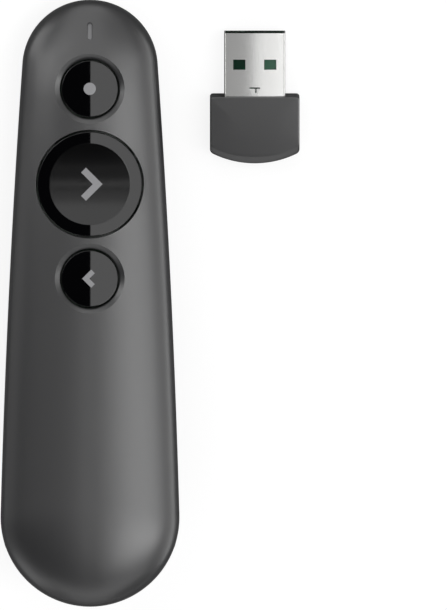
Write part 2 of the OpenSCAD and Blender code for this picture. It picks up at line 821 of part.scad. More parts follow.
module usb_contacts() {
    // The outer pair reaches further out than the inner pair
    color([0.85, 0.65, 0.25]) beside() for (side = [-1, 1]) for (c = [outer_contact, inner_contact])
        translate([side * c[0] - contact_w / 2, rx_len + plug_len - contact_back, pcb_z - contact_h])
            cube([contact_w, c[1], contact_h]);
}

front_shell();
rear_shell();
battery_door();
battery_tray();
laser_cap();
laser_dot();
next_cap();
next_arrow();
back_cap();
back_arrow();
main_board();
button_switches();
board_chips();
status_led();
led_lens();
laser_window();
laser_barrel();
laser_holder();
board_screws();
case_screws();
battery_cell();
battery_sleeve();
positive_contact();
negative_spring();
receiver_housing();
receiver_cover();
usb_shield();
receiver_board();
usb_contacts();
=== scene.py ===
# %% [markdown]
# # A presentation clicker and its radio receiver
# The clicker lies on its back on a table, face up, and its receiver lies beside it.
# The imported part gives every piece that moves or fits. This lesson dresses it: smooth moulded
# shells, glossy caps, a steel plug, and the light that a product studio would use.

# %% Load the frame
import json
import math
import bpy
from mathutils import Matrix, Vector


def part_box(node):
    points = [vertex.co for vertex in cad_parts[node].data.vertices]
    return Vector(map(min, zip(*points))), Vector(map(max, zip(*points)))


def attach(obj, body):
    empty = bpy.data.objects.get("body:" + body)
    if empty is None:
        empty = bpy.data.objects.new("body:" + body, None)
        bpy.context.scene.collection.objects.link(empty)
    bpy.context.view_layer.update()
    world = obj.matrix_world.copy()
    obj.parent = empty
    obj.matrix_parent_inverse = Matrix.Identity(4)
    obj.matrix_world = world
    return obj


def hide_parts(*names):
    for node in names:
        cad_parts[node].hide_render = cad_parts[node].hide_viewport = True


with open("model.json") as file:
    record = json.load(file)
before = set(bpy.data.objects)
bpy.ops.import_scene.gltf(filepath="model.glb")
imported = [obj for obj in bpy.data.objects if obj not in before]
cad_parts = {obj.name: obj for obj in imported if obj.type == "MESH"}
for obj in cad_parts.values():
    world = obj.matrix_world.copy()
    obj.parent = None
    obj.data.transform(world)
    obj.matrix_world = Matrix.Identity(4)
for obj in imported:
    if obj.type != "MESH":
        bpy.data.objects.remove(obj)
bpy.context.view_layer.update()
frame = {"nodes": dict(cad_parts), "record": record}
record = frame["record"]

# %% [markdown]
# ## Sizes
# The shells are lofted from formulas, so the formulas' few driving sizes come first. They are
# millimetres in the clicker's own frame: x to the right, d counted from the nose tip towards
# the tail, z out of the face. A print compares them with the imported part's boxes.

# %% Driving sizes, in millimetres
MM = 0.001
BODY_LEN = 119.0
NOSE_R = 13.3
TAIL_R = 17.55
SIDE_BOW = 0.47
CROWN_H = 6.35
CROWN_N = 2.2
BELLY_H = 17.7
BELLY_D = 88.0
BELLY_BLEND = 10.0
BACK_SLOPE = 0.1427
NOSE_SWEEP = 20.0
NOSE_POWER = 0.333
TAIL_POWER = 0.28
BELLY_IN = 2.2
BELLY_OUT = 1 / 1.4
WALL = 1.4
SEAM_D = 66.5
SEAM_GAP = 0.45
DOOR_GAP = 0.2
WRAP_D = 106.0
LASER_D = 17.55
NEXT_D = 36.2
BACK_D = 54.7
SMALL_R = 5.5
BIG_R = 10.2
CAP_GAP = 0.35
CAP_CROWN_R = 36.0
CAP_SINK = 0.1
DISH_R = 8.0
SCOOP_W = 1.0
SCOOP_H = 0.58
BOARD_TOP = 2.4
EAR_Z = -1.0
POST_R = 1.7
LASER_Z = -0.9
WINDOW_R = 1.2
LED_D = 6.25
LED_W = 1.05
LED_LEN = 3.4
CELL_X = -5.6
CELL_Z = -1.6
CELL_R = 5.25
CELL_D0 = 66.5
CELL_D1 = 111.0
TILT = math.atan(BACK_SLOPE)
print("the clicker leans back by", round(math.degrees(TILT), 2), "degrees")

# %% The outline as functions of the station d
SIDE_ANGLE = math.asin((TAIL_R - NOSE_R) / (BODY_LEN - TAIL_R - NOSE_R))
NOSE_TAN = NOSE_R * (1 - math.sin(SIDE_ANGLE))
TAIL_TAN = BODY_LEN - TAIL_R * (1 + math.sin(SIDE_ANGLE))


def half_w(d):
    if d < NOSE_TAN:
        return math.sqrt(max(0, NOSE_R ** 2 - (NOSE_R - d) ** 2))
    if d > TAIL_TAN:
        return math.sqrt(max(0, TAIL_R ** 2 - (d - BODY_LEN + TAIL_R) ** 2))
    s = (d - NOSE_TAN) / (TAIL_TAN - NOSE_TAN)
    return (NOSE_R + (TAIL_R - NOSE_R) * s) * math.cos(SIDE_ANGLE) + 4 * SIDE_BOW * s * (1 - s)


def rise(u):
    return 1 - (1 - min(1, max(0, u))) ** 2


def front_h(d):
    to_nose, to_tail = rise(d / NOSE_SWEEP), rise((BODY_LEN - d) / NOSE_SWEEP)
    return CROWN_H * to_nose ** NOSE_POWER * to_tail ** TAIL_POWER


def back_h(d):
    straight = BELLY_H + BACK_SLOPE * (BELLY_BLEND / 2 - (BELLY_D - d))
    if d < NOSE_SWEEP:
        return straight * rise(d / NOSE_SWEEP)
    if d < BELLY_D - BELLY_BLEND:
        return straight
    if d < BELLY_D:
        return straight - BACK_SLOPE * (d - BELLY_D + BELLY_BLEND) ** 2 / (2 * BELLY_BLEND)
    past = (d - BELLY_D) / (BODY_LEN - BELLY_D)
    return BELLY_H * max(0, 1 - past ** BELLY_IN) ** BELLY_OUT


def face_z(x, d):
    w = max(half_w(d), 1e-6)
    return front_h(d) * max(0, 1 - (abs(x) / w) ** CROWN_N) ** (1 / CROWN_N)


def outer_d(d):
    return (d - WALL) * BODY_LEN / (BODY_LEN - 2 * WALL)


def in_w(d):
    return half_w(outer_d(d)) - min(WALL, half_w(outer_d(d)) / 2)


def in_back(d):
    return back_h(outer_d(d)) - min(WALL, back_h(outer_d(d)) / 2)


def y_at(d):
    return BODY_LEN / 2 - d


MID_H = back_h(BODY_LEN / 2)
REST = (Matrix.Translation((0, MID_H * math.sin(TILT) * MM, MID_H * math.cos(TILT) * MM))
        @ Matrix.Rotation(-TILT, 4, "X") @ Matrix.Scale(MM, 4))
packed_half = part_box("front_shell")[1].x / MM
print("widest half", round(half_w(TAIL_TAN), 2), "packed", round(packed_half, 2))

# %% [markdown]
# ## Camera
# The picture looks straight onto the buttons with a long lens, nose up, and the clicker fills
# its height. The camera stands on the face's own normal, so it leans with the clicker.

# %% Place the camera
LENS = 900.0
SENSOR = 36.0
VIEW_TALL = 119.6
VIEW_X = 26.17
VIEW_Y = -0.35
VIEW_AWAY = LENS / SENSOR * VIEW_TALL
camera_data = bpy.data.cameras.new("camera")
camera_data.lens = LENS
camera_data.sensor_width = SENSOR
camera_data.clip_start = 0.05
camera_data.clip_end = 60
camera = bpy.data.objects.new("camera", camera_data)
bpy.context.scene.collection.objects.link(camera)
TURN = Matrix.Rotation(-TILT, 4, "X")
camera.matrix_world = Matrix.Translation(REST @ Vector((VIEW_X, VIEW_Y, VIEW_AWAY))) @ TURN
bpy.context.scene.camera = camera
bpy.context.scene.view_settings.view_transform = "Standard"
print("camera", round(VIEW_AWAY), "mm above the face")

# %% [markdown]
# ## Small helpers
# Operators act on whatever is selected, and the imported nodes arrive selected. So every step
# starts by selecting exactly one thing. Most steps then work on a whole mesh in edit mode, so
# going in and out of it, picking vertices by their place and closing a skin are helpers too.

# %% Selecting, and working on a whole mesh
def only(*pieces):
    if bpy.context.object and bpy.context.object.mode == "EDIT":
        bpy.ops.object.mode_set(mode="OBJECT")
    bpy.ops.object.select_all(action="DESELECT")
    for piece in pieces:
        piece.select_set(True)
    if pieces:
        bpy.context.view_layer.objects.active = pieces[0]


def edit_all(piece):
    """Goes into edit mode on one piece, with its whole mesh selected."""
    only(piece)
    bpy.ops.object.mode_set(mode="EDIT")
    bpy.ops.mesh.select_mode(type="VERT")
    bpy.ops.mesh.select_all(action="SELECT")


def leave_edit():
    bpy.ops.object.mode_set(mode="OBJECT")


def flip(piece):
    edit_all(piece)
    bpy.ops.mesh.flip_normals()
    leave_edit()


def pick(piece, test):
    """Selects the vertices whose places pass a test, and stays in edit mode."""
    edit_all(piece)
    bpy.ops.mesh.select_all(action="DESELECT")
    leave_edit()
    for v in piece.data.vertices:
        v.select = test(v.co)
    bpy.ops.object.mode_set(mode="EDIT")


def face_outwards():
    """Turns the faces of the piece in edit mode outwards, and leaves edit mode."""
    bpy.ops.mesh.select_all(action="SELECT")
    bpy.ops.mesh.normals_make_consistent(inside=False)
    leave_edit()


def fill_rims():
    """Puts a face in every open rim of the piece in edit mode, and leaves edit mode."""
    bpy.ops.mesh.select_all(action="DESELECT")
    bpy.ops.mesh.select_non_manifold()
    bpy.ops.mesh.edge_face_add()
    face_outwards()


print("editing helpers ready")


# %% Making, placing and joining pieces
def fresh(name):
    """Names the piece that was just made, and applies its place, turn and size."""
    piece = bpy.context.object
    piece.name = name
    bpy.ops.object.transform_apply(location=True, rotation=True, scale=True)
    return piece


def applied(piece, kind, **settings):
    only(piece)
    modifier = piece.modifiers.new(kind.title(), kind)
    for key, value in settings.items():
        setattr(modifier, key, value)
    bpy.ops.object.modifier_apply(modifier=modifier.name)
    return piece


def settle(piece, place=REST):
    """Lays a piece that was made in its own frame into the part's frame, in metres."""
    only(piece)
    piece.matrix_world = place
    bpy.ops.object.transform_apply(location=True, rotation=True, scale=True)


def copy_of(piece, name):
    twin = bpy.data.objects.new(name, piece.data.copy())
    bpy.context.scene.collection.objects.link(twin)
    return twin


def joined(pieces):
    only(*pieces)
    bpy.ops.object.join()
    return bpy.context.object


def united(piece, other):
    applied(piece, "BOOLEAN", operation="UNION", solver="EXACT", object=other)
    bpy.data.objects.remove(other)


def drilled(piece, cutter):
    applied(piece, "BOOLEAN", operation="DIFFERENCE", solver="EXACT", object=cutter)
    bpy.data.objects.remove(cutter)


def edges_broken(piece, width, **more):
    """Breaks the sharp edges with a fine bevel, in two steps."""
    applied(piece, "BEVEL", width=width, segments=2, limit_method="ANGLE",
            angle_limit=math.radians(50), **more)


def smooth(piece, degrees=30):
    only(piece)
    bpy.ops.object.shade_smooth_by_angle(angle=math.radians(degrees))
    print(piece.name, len(piece.data.polygons), "faces")


print("piece helpers ready")

# %% [markdown]
# ## Shader maths
# A finish often needs a little arithmetic, such as a noise scaled and shifted into a range of
# roughness. Wired by hand that is one Math node for each sign. A small class wraps a socket
# instead, so that an expression in plain Python adds those nodes, and one function makes any
# other kind of node.

# %% Shader maths as expressions
class Sock:
    """A socket that takes + and * with other sockets and numbers."""

    def __init__(self, tree, link):
        self.tree = tree
        self.link = link

    def math(self, operation, other=None):
        inputs = {0: self} if other is None else {0: self, 1: other}
        return node(self.tree, "ShaderNodeMath", {"operation": operation}, inputs)

    def __add__(self, other):
        return self.math("ADD", other)

    def __radd__(self, other):
        return self.math("ADD", other)

    def __mul__(self, other):
        return self.math("MULTIPLY", other)

    def __rmul__(self, other):
        return self.math("MULTIPLY", other)


def node(tree, kind, settings=None, inputs=None, output=0):
    """Adds any node: its settings first, then the values or links of its sockets."""
    made = tree.nodes.new(kind)
    for key, value in (settings or {}).items():
        setattr(made, key, value)
    for key, value in (inputs or {}).items():
        value = value.link if isinstance(value, Sock) else value
        if isinstance(value, bpy.types.NodeSocket):
            tree.links.new(value, made.inputs[key])
        else:
            made.inputs[key].default_value = value
    return Sock(tree, made.outputs[output])


print("shader maths ready")

# %% Finishes, grains and bumps
finishes = {}


def finish_of(name, base, roughness, metallic=0.0, **more):
    """Makes a material, keeps it under its name and returns its tree and its main shader."""
    material = bpy.data.materials.new(name + "_finish")
    finishes[name] = material
    material.use_nodes = True
    tree = material.node_tree
    shader = tree.nodes["Principled BSDF"]
    shader.inputs["Base Color"].default_value = (*base, 1)
    shader.inputs["Roughness"].default_value = roughness
    shader.inputs["Metallic"].default_value = metallic
    for key, value in more.items():
        shader.inputs[key.replace("_", " ")].default_value = value
    return tree, shader


def plug_in(tree, shader, **links):
    for key, sock in links.items():
        tree.links.new(sock.link, shader.inputs[key.replace("_", " ")])


def grain(tree, per_mm, detail=2.0):
    """Noise told by how many grains lie on a millimetre."""
    place = node(tree, "ShaderNodeTexCoord", output="Object")
    return node(tree, "ShaderNodeTexNoise", {},
                {"Vector": place, "Scale": per_mm / MM, "Detail": detail})


def grained(tree, shader, per_mm, least, span):
    """The roughness wanders from a least value up by a span."""
    plug_in(tree, shader, Roughness=grain(tree, per_mm) * span + least)


def bumped(tree, pattern, strength, deep_mm):
    """A bump as deep as given in millimetres, for the shader's Normal."""
    return node(tree, "ShaderNodeBump", {},
                {"Strength": strength, "Distance": deep_mm * MM, "Height": pattern})


print("finish helpers ready")

# %% [markdown]
# ## Floor
# A pale sheet under the part. A plain white one would turn grey in the part's shade and mirror
# as grey. So camera and mirror rays see mostly a white glow, and the weaker diffuse share that is
# left keeps the part's soft shadow.

# %% Make the floor
FLOOR_SIDE = 16.0
FLOOR_TONE = 0.8
WHITE_SHARE = 0.82
only()
bpy.ops.mesh.primitive_plane_add(size=FLOOR_SIDE, location=(0, 0, 0))
floor = bpy.context.object
floor.name = "floor"
tree, shader = finish_of("paper", (FLOOR_TONE, FLOOR_TONE, FLOOR_TONE), 0.9)
path = tree.nodes.new("ShaderNodeLightPath")
seen = (Sock(tree, path.outputs["Is Camera Ray"]) + Sock(tree, path.outputs["Is Glossy Ray"])
        + Sock(tree, path.outputs["Is Transmission Ray"]))
seen = seen.math("MINIMUM", 1.0)
glow = node(tree, "ShaderNodeEmission", {}, {"Color": (1, 1, 1, 1), "Strength": 1.0})
paint = Sock(tree, shader.outputs[0])
mixed = node(tree, "ShaderNodeMixShader", {}, {0: seen * WHITE_SHARE, 1: paint, 2: glow})
tree.links.new(mixed.link, tree.nodes["Material Output"].inputs["Surface"])
floor.data.materials.append(finishes["paper"])
print("floor", FLOOR_SIDE, "m")

# %% [markdown]
# ## Light
# The caps are polished, so they show the studio. Each is split down its middle: black on the
# left, grey on the right. That is one low bright card that ends exactly on the camera's axis,
# with a black flag on the other side of it. The shells are satin, so every point of them blurs
# a cone of the studio some twenty degrees wide, and the other cards draw the soft bands along
# the body, over the nose and round the tail. A picture wrapped round the scene could do the
# same, but a card is easier to reason about: it is told by its radiance and by the angles that
# it covers, seen from the face. Turn is to the right of the face's axis, and lift is towards the
# nose. Far cards lie in the same direction for every piece, and a near one lights only the
# stretch that it stands over.

# %% Cards and flags by angle
FAR = 12.0
FLAG_BEHIND = 0.1


def panel(turn, lift, away):
    """The place and size of a panel that covers two ranges of angles, in degrees."""
    az, el = math.radians(sum(turn) / 2), math.radians(sum(lift) / 2)
    ahead = Vector((math.sin(az) * math.cos(el), math.sin(el), math.cos(az) * math.cos(el)))
    place = Matrix.Rotation(az, 4, "Y") @ Matrix.Rotation(-el, 4, "X")
    wide = 2 * away * math.cos(el) * math.tan(math.radians(turn[1] - turn[0]) / 2)
    tall = 2 * away * math.tan(math.radians(lift[1] - lift[0]) / 2)
    return Matrix.Rotation(-TILT, 4, "X") @ Matrix.Translation(ahead * away) @ place, wide, tall


def card(name, turn, lift, radiance, away=FAR, x=0, d=BODY_LEN / 2):
    """An area lamp told by its radiance. Its angles are those seen from x and the station d."""
    place, wide, tall = panel(turn, lift, away)
    place = Matrix.Translation(REST @ Vector((x, y_at(d), 0))) @ place
    lamp = bpy.data.lights.new(name, "AREA")
    lamp.shape = "RECTANGLE"
    lamp.size, lamp.size_y = wide, tall
    lamp.energy = radiance * math.pi * wide * tall
    made = bpy.data.objects.new(name, lamp)
    bpy.context.scene.collection.objects.link(made)
    made.matrix_world = place
    made.visible_camera = False
    return made


def sheet(name, size, tone, place, **more):
    """A matt sheet that only reflections see."""
    only()
    bpy.ops.mesh.primitive_plane_add(size=size)
    made = bpy.context.object
    made.name = name
    made.matrix_world = place
    finish_of(name, (tone, tone, tone), 1.0, **more)
    made.data.materials.append(finishes[name])
    made.visible_camera = made.visible_diffuse = made.visible_shadow = False


def flag(name, turn, lift):
    """A black sheet just behind the cards."""
    place, wide, tall = panel(turn, lift, FAR)
    behind = Matrix.Translation((0, 0, FLAG_BEHIND))
    place = place @ Matrix.Diagonal((wide, tall, 1, 1)) @ behind
    sheet(name, 1, 0, place, Specular_IOR_Level=0.0)


# %% Stand the cards for the shells and the caps
# Each has its range of turn, its range of lift and its radiance.
cards = [("side_card", (0, 33), (-1.2, 1.8), 3.4),
         ("key_card", (8, 46), (-16, -4), 8.7),
         ("core_card", (44, 56), (-4, 4.5), 2.4),
         ("over_card", (8, 46), (4.5, 11), 5.7),
         ("edge_card", (56, 76), (-30, 30), 1.3),
         ("rim_card", (78, 100), (-30, 30), 3.9),
         ("brow_card", (-42, -8), (9, 16), 3.2),
         ("dish_card", (-8, 10), (4, 12), 0.55),
         ("nose_card", (-35, 16), (12, 75), 1.45),
         ("nose_right_card", (16, 46), (16, 75), 0.6),
         ("tail_card", (-45, 50), (-52, -28), 1.4),
         ("end_card", (-45, 45), (-85, -50), 0.8),
         ("left_card", (-95, -48), (10, 40), 2.5),
         ("left_tail_card", (-95, -50), (-52, -25), 1.3)]
for name, turn, lift, radiance in cards:
    card(name, turn, lift, radiance)
card("near_left_card", (-55, -22), (5, 15), 3.5, away=0.15, x=-9, d=21)
plug_cards = [card("plug_card_left", (-12, 0), (-19, -13.5), 0.5),
              card("plug_card_right", (0, 12), (-19, -13.5), 1.3)]
print(len(cards) + 1 + len(plug_cards), "cards")

# %% Hang the flags and lay a dark mat under the part
# The mat keeps the white floor out of what the low sides of the mouldings mirror.
MAT_SIDE = 0.5
MAT_Z = 0.0001
MAT_TONE = 0.12
flag("left_flag", (-60, 0), (-10, 6))
flag("low_flag", (-60, 60), (-48, -11))
sheet("black_mat", MAT_SIDE, MAT_TONE, Matrix.Translation((0, 0, MAT_Z)))
print("two flags and a mat")

# %% The room
ROOM_LIGHT = 0.35
world = bpy.data.worlds.new("studio")
bpy.context.scene.world = world
world.use_nodes = True
path = world.node_tree.nodes.new("ShaderNodeLightPath")
seen = Sock(world.node_tree, path.outputs["Is Camera Ray"])
background = world.node_tree.nodes["Background"]
background.inputs["Color"].default_value = (1, 1, 1, 1)
plug_in(world.node_tree, background, Strength=seen * (1 - ROOM_LIGHT) + ROOM_LIGHT)
print("room light", ROOM_LIGHT)

# %% [markdown]
# ## Materials
# Seen from above are the shells' satin graphite, the caps' polished black, the softer black of
# the large dish, the signs' grey, the status light's dull guide, the plug's steel and the green
# board in its windows. The rest show when the door is off. A flat colour would do for each, but
# it looks like a drawing. A mould leaves a fine grain, so plastics get a noise that moves their
# roughness a little, and the shells a bump as well. Patterns read Object coordinates, so they
# stay on a piece when it moves.

# %% Moulded plastics
tree, shader = finish_of("shell_plastic", (0.011, 0.011, 0.0116), 0.33, Specular_IOR_Level=0.7)
fine = grain(tree, 7.0)
plug_in(tree, shader, Normal=bumped(tree, fine, 0.25, 0.02), Roughness=fine * 0.08 + 0.29)
tree, shader = finish_of("button_gloss", (0.0008, 0.0008, 0.001), 0.04, Specular_IOR_Level=0.27)
grained(tree, shader, 1.5, 0.025, 0.03)
tree, shader = finish_of("dish_satin", (0.0006, 0.0006, 0.0007), 0.25, Specular_IOR_Level=0.41)
grained(tree, shader, 9.0, 0.13, 0.06)
tree, shader = finish_of("sign_print", (0.138, 0.138, 0.143), 0.45)
grained(tree, shader, 12.0, 0.35, 0.2)
tree, shader = finish_of("inner_plastic", (0.02, 0.02, 0.021), 0.5)
sparked = grain(tree, 4.0, 4.0)
plug_in(tree, shader, Normal=bumped(tree, sparked, 0.4, 0.04), Roughness=sparked * 0.2 + 0.4)
tree, shader = finish_of("light_guide", (0.085, 0.085, 0.088), 0.25)
grained(tree, shader, 5.0, 0.2, 0.1)
tree, shader = finish_of("laser_glass", (0.06, 0.004, 0.006), 0.08, Coat_Weight=0.5)
grained(tree, shader, 3.0, 0.05, 0.05)
print("plastics made")


# %% Metals
def drawn_out(tree, along_mm, across_mm):
    """Noise stretched along Y, as brushing or rolling leaves it."""
    place = node(tree, "ShaderNodeTexCoord", output="Object")
    scale = (across_mm / MM, along_mm / MM, across_mm / MM)
    stretched = node(tree, "ShaderNodeMapping", {}, {"Vector": place, "Scale": scale})
    return node(tree, "ShaderNodeTexNoise", {}, {"Vector": stretched, "Scale": 1.0, "Detail": 3.0})


tree, shader = finish_of("steel", (0.66, 0.66, 0.65), 0.12, 1.0)
brushed = drawn_out(tree, 0.4, 14.0)
plug_in(tree, shader, Normal=bumped(tree, brushed, 0.12, 0.01), Roughness=brushed * 0.08 + 0.07)
tree, shader = finish_of("brass", (0.72, 0.55, 0.25), 0.25, 1.0)
grained(tree, shader, 8.0, 0.18, 0.15)
tree, shader = finish_of("contact_gold", (0.85, 0.62, 0.25), 0.2, 1.0)
plug_in(tree, shader, Roughness=drawn_out(tree, 0.6, 10.0) * 0.2 + 0.12)
print("metals made")

# %% [markdown]
# ## Boards, chips and the cell's sleeve
# A board's copper shows through its green lacquer as straight runs with square corners. Drawing
# them one by one would be lost at this size, so a Voronoi pattern with square cells stands in: its
# fractions, cut at a share, leave such bands. The sleeve is blue with a bare band at one end.


# %% Boards, chips and the sleeve
def tracks(tree, per_mm, share):
    """A mask of straight runs and square corners."""
    place = node(tree, "ShaderNodeTexCoord", output="Object")
    cells = node(tree, "ShaderNodeTexVoronoi", {"distance": "CHEBYCHEV", "feature": "F2"},
                 {"Vector": place, "Scale": per_mm / MM, "Randomness": 0.8})
    bands = (cells * 6.0).math("FRACT")
    return bands.math("LESS_THAN", share)


def two_tones(tree, mask, first, second):
    return node(tree, "ShaderNodeMix", {"data_type": "RGBA"},
                {0: mask, 6: (*first, 1), 7: (*second, 1)}, output=2)


SLEEVE_BAND_Y = -45.0
# The receiver's board is a very dark green. Part of that is its own green lacquer, and part is
# painted shade for the dark it lies in under the shield's windows.
tree, shader = finish_of("circuit_board", (0.001, 0.02, 0.009), 0.3, Specular_IOR_Level=0.15)
board_greens_with_painted_shade = (0.001, 0.012, 0.006), (0.002, 0.04, 0.018)
plug_in(tree, shader, Base_Color=two_tones(tree, tracks(tree, 0.35, 0.3), *board_greens_with_painted_shade))
# The main board is a near-black green. Its tracks are its own, and the near-black tone is painted
# shade, so that the gaps round the caps read black.
tree, shader = finish_of("board_mask", (0.006, 0.0065, 0.006), 0.35)
board_greens_with_painted_shade = (0.003, 0.012, 0.005), (0.008, 0.03, 0.012)
plug_in(tree, shader, Base_Color=two_tones(tree, tracks(tree, 0.3, 0.35), *board_greens_with_painted_shade))
tree, shader = finish_of("chip_black", (0.02, 0.02, 0.022), 0.5)
grained(tree, shader, 10.0, 0.4, 0.25)
tree, shader = finish_of("cell_sleeve", (0.03, 0.06, 0.12), 0.25)
place = node(tree, "ShaderNodeTexCoord", output="Object")
along_body = node(tree, "ShaderNodeSeparateXYZ", {}, {"Vector": place}, output=1)
band = along_body.math("LESS_THAN", SLEEVE_BAND_Y * MM)
plug_in(tree, shader, Base_Color=two_tones(tree, band, (0.03, 0.06, 0.12), (0.3, 0.3, 0.31)))
print(len(finishes), "finishes")

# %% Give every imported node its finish
slot_of = {part["node"]: part["material_slot"] for part in record["subparts"]}
for name, cad in frame["nodes"].items():
    cad.data.materials.clear()
    cad.data.materials.append(finishes[slot_of[name]])


def stands_for(piece, node_name, body):
    """The piece takes a node's place on its body, with that node's finish as its first."""
    if not piece.data.materials:
        piece.data.materials.append(finishes[slot_of[node_name]])
    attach(piece, body)
    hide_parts(node_name)


print("slots:", sorted(set(slot_of.values())))

# %% [markdown]
# ## Shell skins
# The real shells are moulded, with a form that changes all along the body. Each half is an arch:
# flat-topped above the parting plane, an ellipse below it. The arch is drawn once, then extruded
# from station to station and resized there, which follows the formulas everywhere, as a cage
# under Subdivision would not. Stations lie close together at the tips, where the form turns fast.

# %% Loft one half of the body
ARC = 64
STEPS = 62
FIRST = 0.004


def stations():
    share = [1 - math.cos(math.pi / 2 * k / STEPS) for k in range(STEPS + 1)]
    nose = [FIRST + (SEAM_D - FIRST) * s for s in share]
    tail = [BODY_LEN - FIRST - (BODY_LEN - FIRST - SEAM_D) * s for s in share]
    return nose + tail[-2::-1]


def arch(name, side, power, places, width, height, pointed=True):
    """Half a tube through places. side is 1 for the face and -1 for the back."""
    only()
    bpy.ops.mesh.primitive_circle_add(vertices=2 * ARC, radius=1, rotation=(math.pi / 2, 0, 0))
    skin = fresh(name)
    pick(skin, lambda p: p.z * side < -1e-4)
    bpy.ops.mesh.delete(type="VERT")
    leave_edit()
    for v in skin.data.vertices:
        v.co.x = math.copysign(abs(v.co.x) ** (2 / power), v.co.x)
        v.co.z = side * abs(v.co.z) ** (2 / power) if abs(v.co.z) > 1e-4 else 0
    w, h, y = width(places[0]), height(places[0]), y_at(places[0])
    edit_all(skin)
    bpy.ops.transform.resize(value=(w, 1, h), center_override=(0, 0, 0))
    bpy.ops.transform.translate(value=(0, y, 0))
    for d in places[1:]:
        bpy.ops.mesh.extrude_region_move(TRANSFORM_OT_translate={"value": (0, y_at(d) - y, 0)})
        y = y_at(d)
        bpy.ops.transform.resize(value=(width(d) / w, 1, height(d) / h), center_override=(0, y, 0))
        w, h = width(d), height(d)
    leave_edit()
    if pointed:
        for tip in (y_at(places[0]), y_at(places[-1])):
            pick(skin, lambda p: abs(p.y - tip) < FIRST / 2)
            bpy.ops.mesh.merge(type="CENTER")
        leave_edit()
    top = max(skin.data.polygons, key=lambda f: abs(f.center.z))
    if top.normal.z * side < 0:
        flip(skin)
    print(name, len(skin.data.vertices), "points")
    return skin


face_skin = arch("face_skin", 1, CROWN_N, stations(), half_w, front_h)
back_skin = arch("back_skin", -1, 2, stations(), half_w, back_h)

# %% [markdown]
# ## Bars for posts and cutters
# Screw posts, the status light's slot and the laser's bore are all round bars, some of them
# standing and one lying. Each is a cylinder, which is added to a shell or taken out of it.

# %% Bars with round ends, and plain round bars
def upright(name, x, d, r, low, high, long=0.0):
    """A round bar that stands out of the face, or one stretched along the body to a length."""
    only()
    bpy.ops.mesh.primitive_cylinder_add(vertices=48, radius=r, depth=high - low,
                                        location=(x, y_at(d), (low + high) / 2))
    bar = fresh(name)
    for v in bar.data.vertices:
        v.co.y += math.copysign(max(0, long / 2 - r), v.co.y - y_at(d))
    return bar


def along(name, x, z, r, d0, d1):
    """A round bar that lies along the body between two stations."""
    only()
    middle = (x, (y_at(d0) + y_at(d1)) / 2, z)
    bpy.ops.mesh.primitive_cylinder_add(vertices=64, radius=r, depth=d1 - d0, location=middle,
                                        rotation=(math.pi / 2, 0, 0))
    return fresh(name)


BORE_GAP = 0.05
BORE_END_D = 14.5


def bore_cutter():
    """What the laser's bore takes out of both halves at the nose."""
    return along("bore_cutter", 0, LASER_Z, WINDOW_R + BORE_GAP, -1, BORE_END_D)


print("the bore is", 2 * (WINDOW_R + BORE_GAP), "mm wide")

# %% [markdown]
# ## Cutting the halves into mouldings
# The rear shell, the door and the wrap round the tail are all cut from the lower skin with
# planes. Solidify gives the face shell and the door their walls, inwards. The rear shell runs out
# so flat at the nose that a wall drawn inwards would cross itself there, so it is closed to a
# block and a slightly smaller arch, the cavity, is taken out of it. Bevel breaks all edges, which
# makes the fine grooves where two mouldings meet.


# %% Helpers that cut and close a skin


def cut(skin, station, z, normal, clear_up):
    """Bisects a skin through (station, z) and clears what lies along the normal, or against it."""
    edit_all(skin)
    bpy.ops.mesh.bisect(plane_co=(0, y_at(station), z), plane_no=normal,
                        clear_outer=clear_up, clear_inner=not clear_up)
    leave_edit()


def merged(skin, gap):
    """Merges the points that lie within a gap of each other."""
    edit_all(skin)
    bpy.ops.mesh.remove_doubles(threshold=gap)
    leave_edit()


def lidded(skin, lift=0.0):
    """Closes a skin's open rim with one face, after lifting the rim."""
    edit_all(skin)
    bpy.ops.mesh.select_all(action="DESELECT")
    bpy.ops.mesh.select_non_manifold()
    bpy.ops.mesh.extrude_region_move(TRANSFORM_OT_translate={"value": (0, 0, lift)})
    bpy.ops.mesh.edge_face_add()
    merged(skin, 0.0005)


print("cutting helpers ready")

# %% Cut the face shell and the rear shell
UP = (0, 0, 1)
BACKWARDS = (0, -1, 0)
WRAP_UP = (0, -math.sin(TILT), math.cos(TILT))
tail_wrap = copy_of(back_skin, "tail_wrap")
cut(tail_wrap, WRAP_D, 0, WRAP_UP, False)
front_shell = joined([face_skin, tail_wrap])
front_shell.name = "front_shell_skin"
merged(front_shell, 0.002)
rear_shell = copy_of(back_skin, "rear_shell_skin")
lidded(rear_shell)
cut(rear_shell, SEAM_D, 0, BACKWARDS, True)
lidded(rear_shell)
inner_places = [WALL + d * (BODY_LEN - 2 * WALL) / BODY_LEN for d in stations()]
cavity = arch("cavity", -1, 2, inner_places, in_w, in_back)
lidded(cavity, 1.0)
drilled(rear_shell, cavity)
drilled(rear_shell, bore_cutter())
print("rear shell with its cavity", len(rear_shell.data.polygons), "faces")

# %% Cut the door, then thicken and break the edges
EDGE = 0.12
battery_door = back_skin
battery_door.name = "battery_door_skin"
cut(battery_door, SEAM_D + SEAM_GAP, 0, BACKWARDS, False)
cut(battery_door, WRAP_D, -DOOR_GAP, UP, True)
cut(battery_door, WRAP_D, -DOOR_GAP, WRAP_UP, True)
for moulding in (front_shell, battery_door):
    applied(moulding, "SOLIDIFY", thickness=WALL, offset=-1)
for moulding in (front_shell, rear_shell, battery_door):
    edges_broken(moulding, EDGE, use_clamp_overlap=False)
    print(moulding.name, len(moulding.data.polygons), "faces")

# %% [markdown]
# ## The door's tongue
# A tongue inside the door's front edge reaches under the rear shell. It keeps light out of the
# seam and guides the door as it slides on. Extruding the door's own rim would give it, but the
# rim is a narrow bevelled loop that is hard to select. So it is a short thick band of the same
# arch, drawn in by the wall and the running gap, and a second, thicker band joins it to the door.


# %% Add the tongue
TONGUE_T = 0.8
TONGUE_D0 = SEAM_D - 1.2
TONGUE_D1 = SEAM_D + SEAM_GAP + 1.5
TONGUE_TOP = -2.0
TONGUE_STEP = 0.2


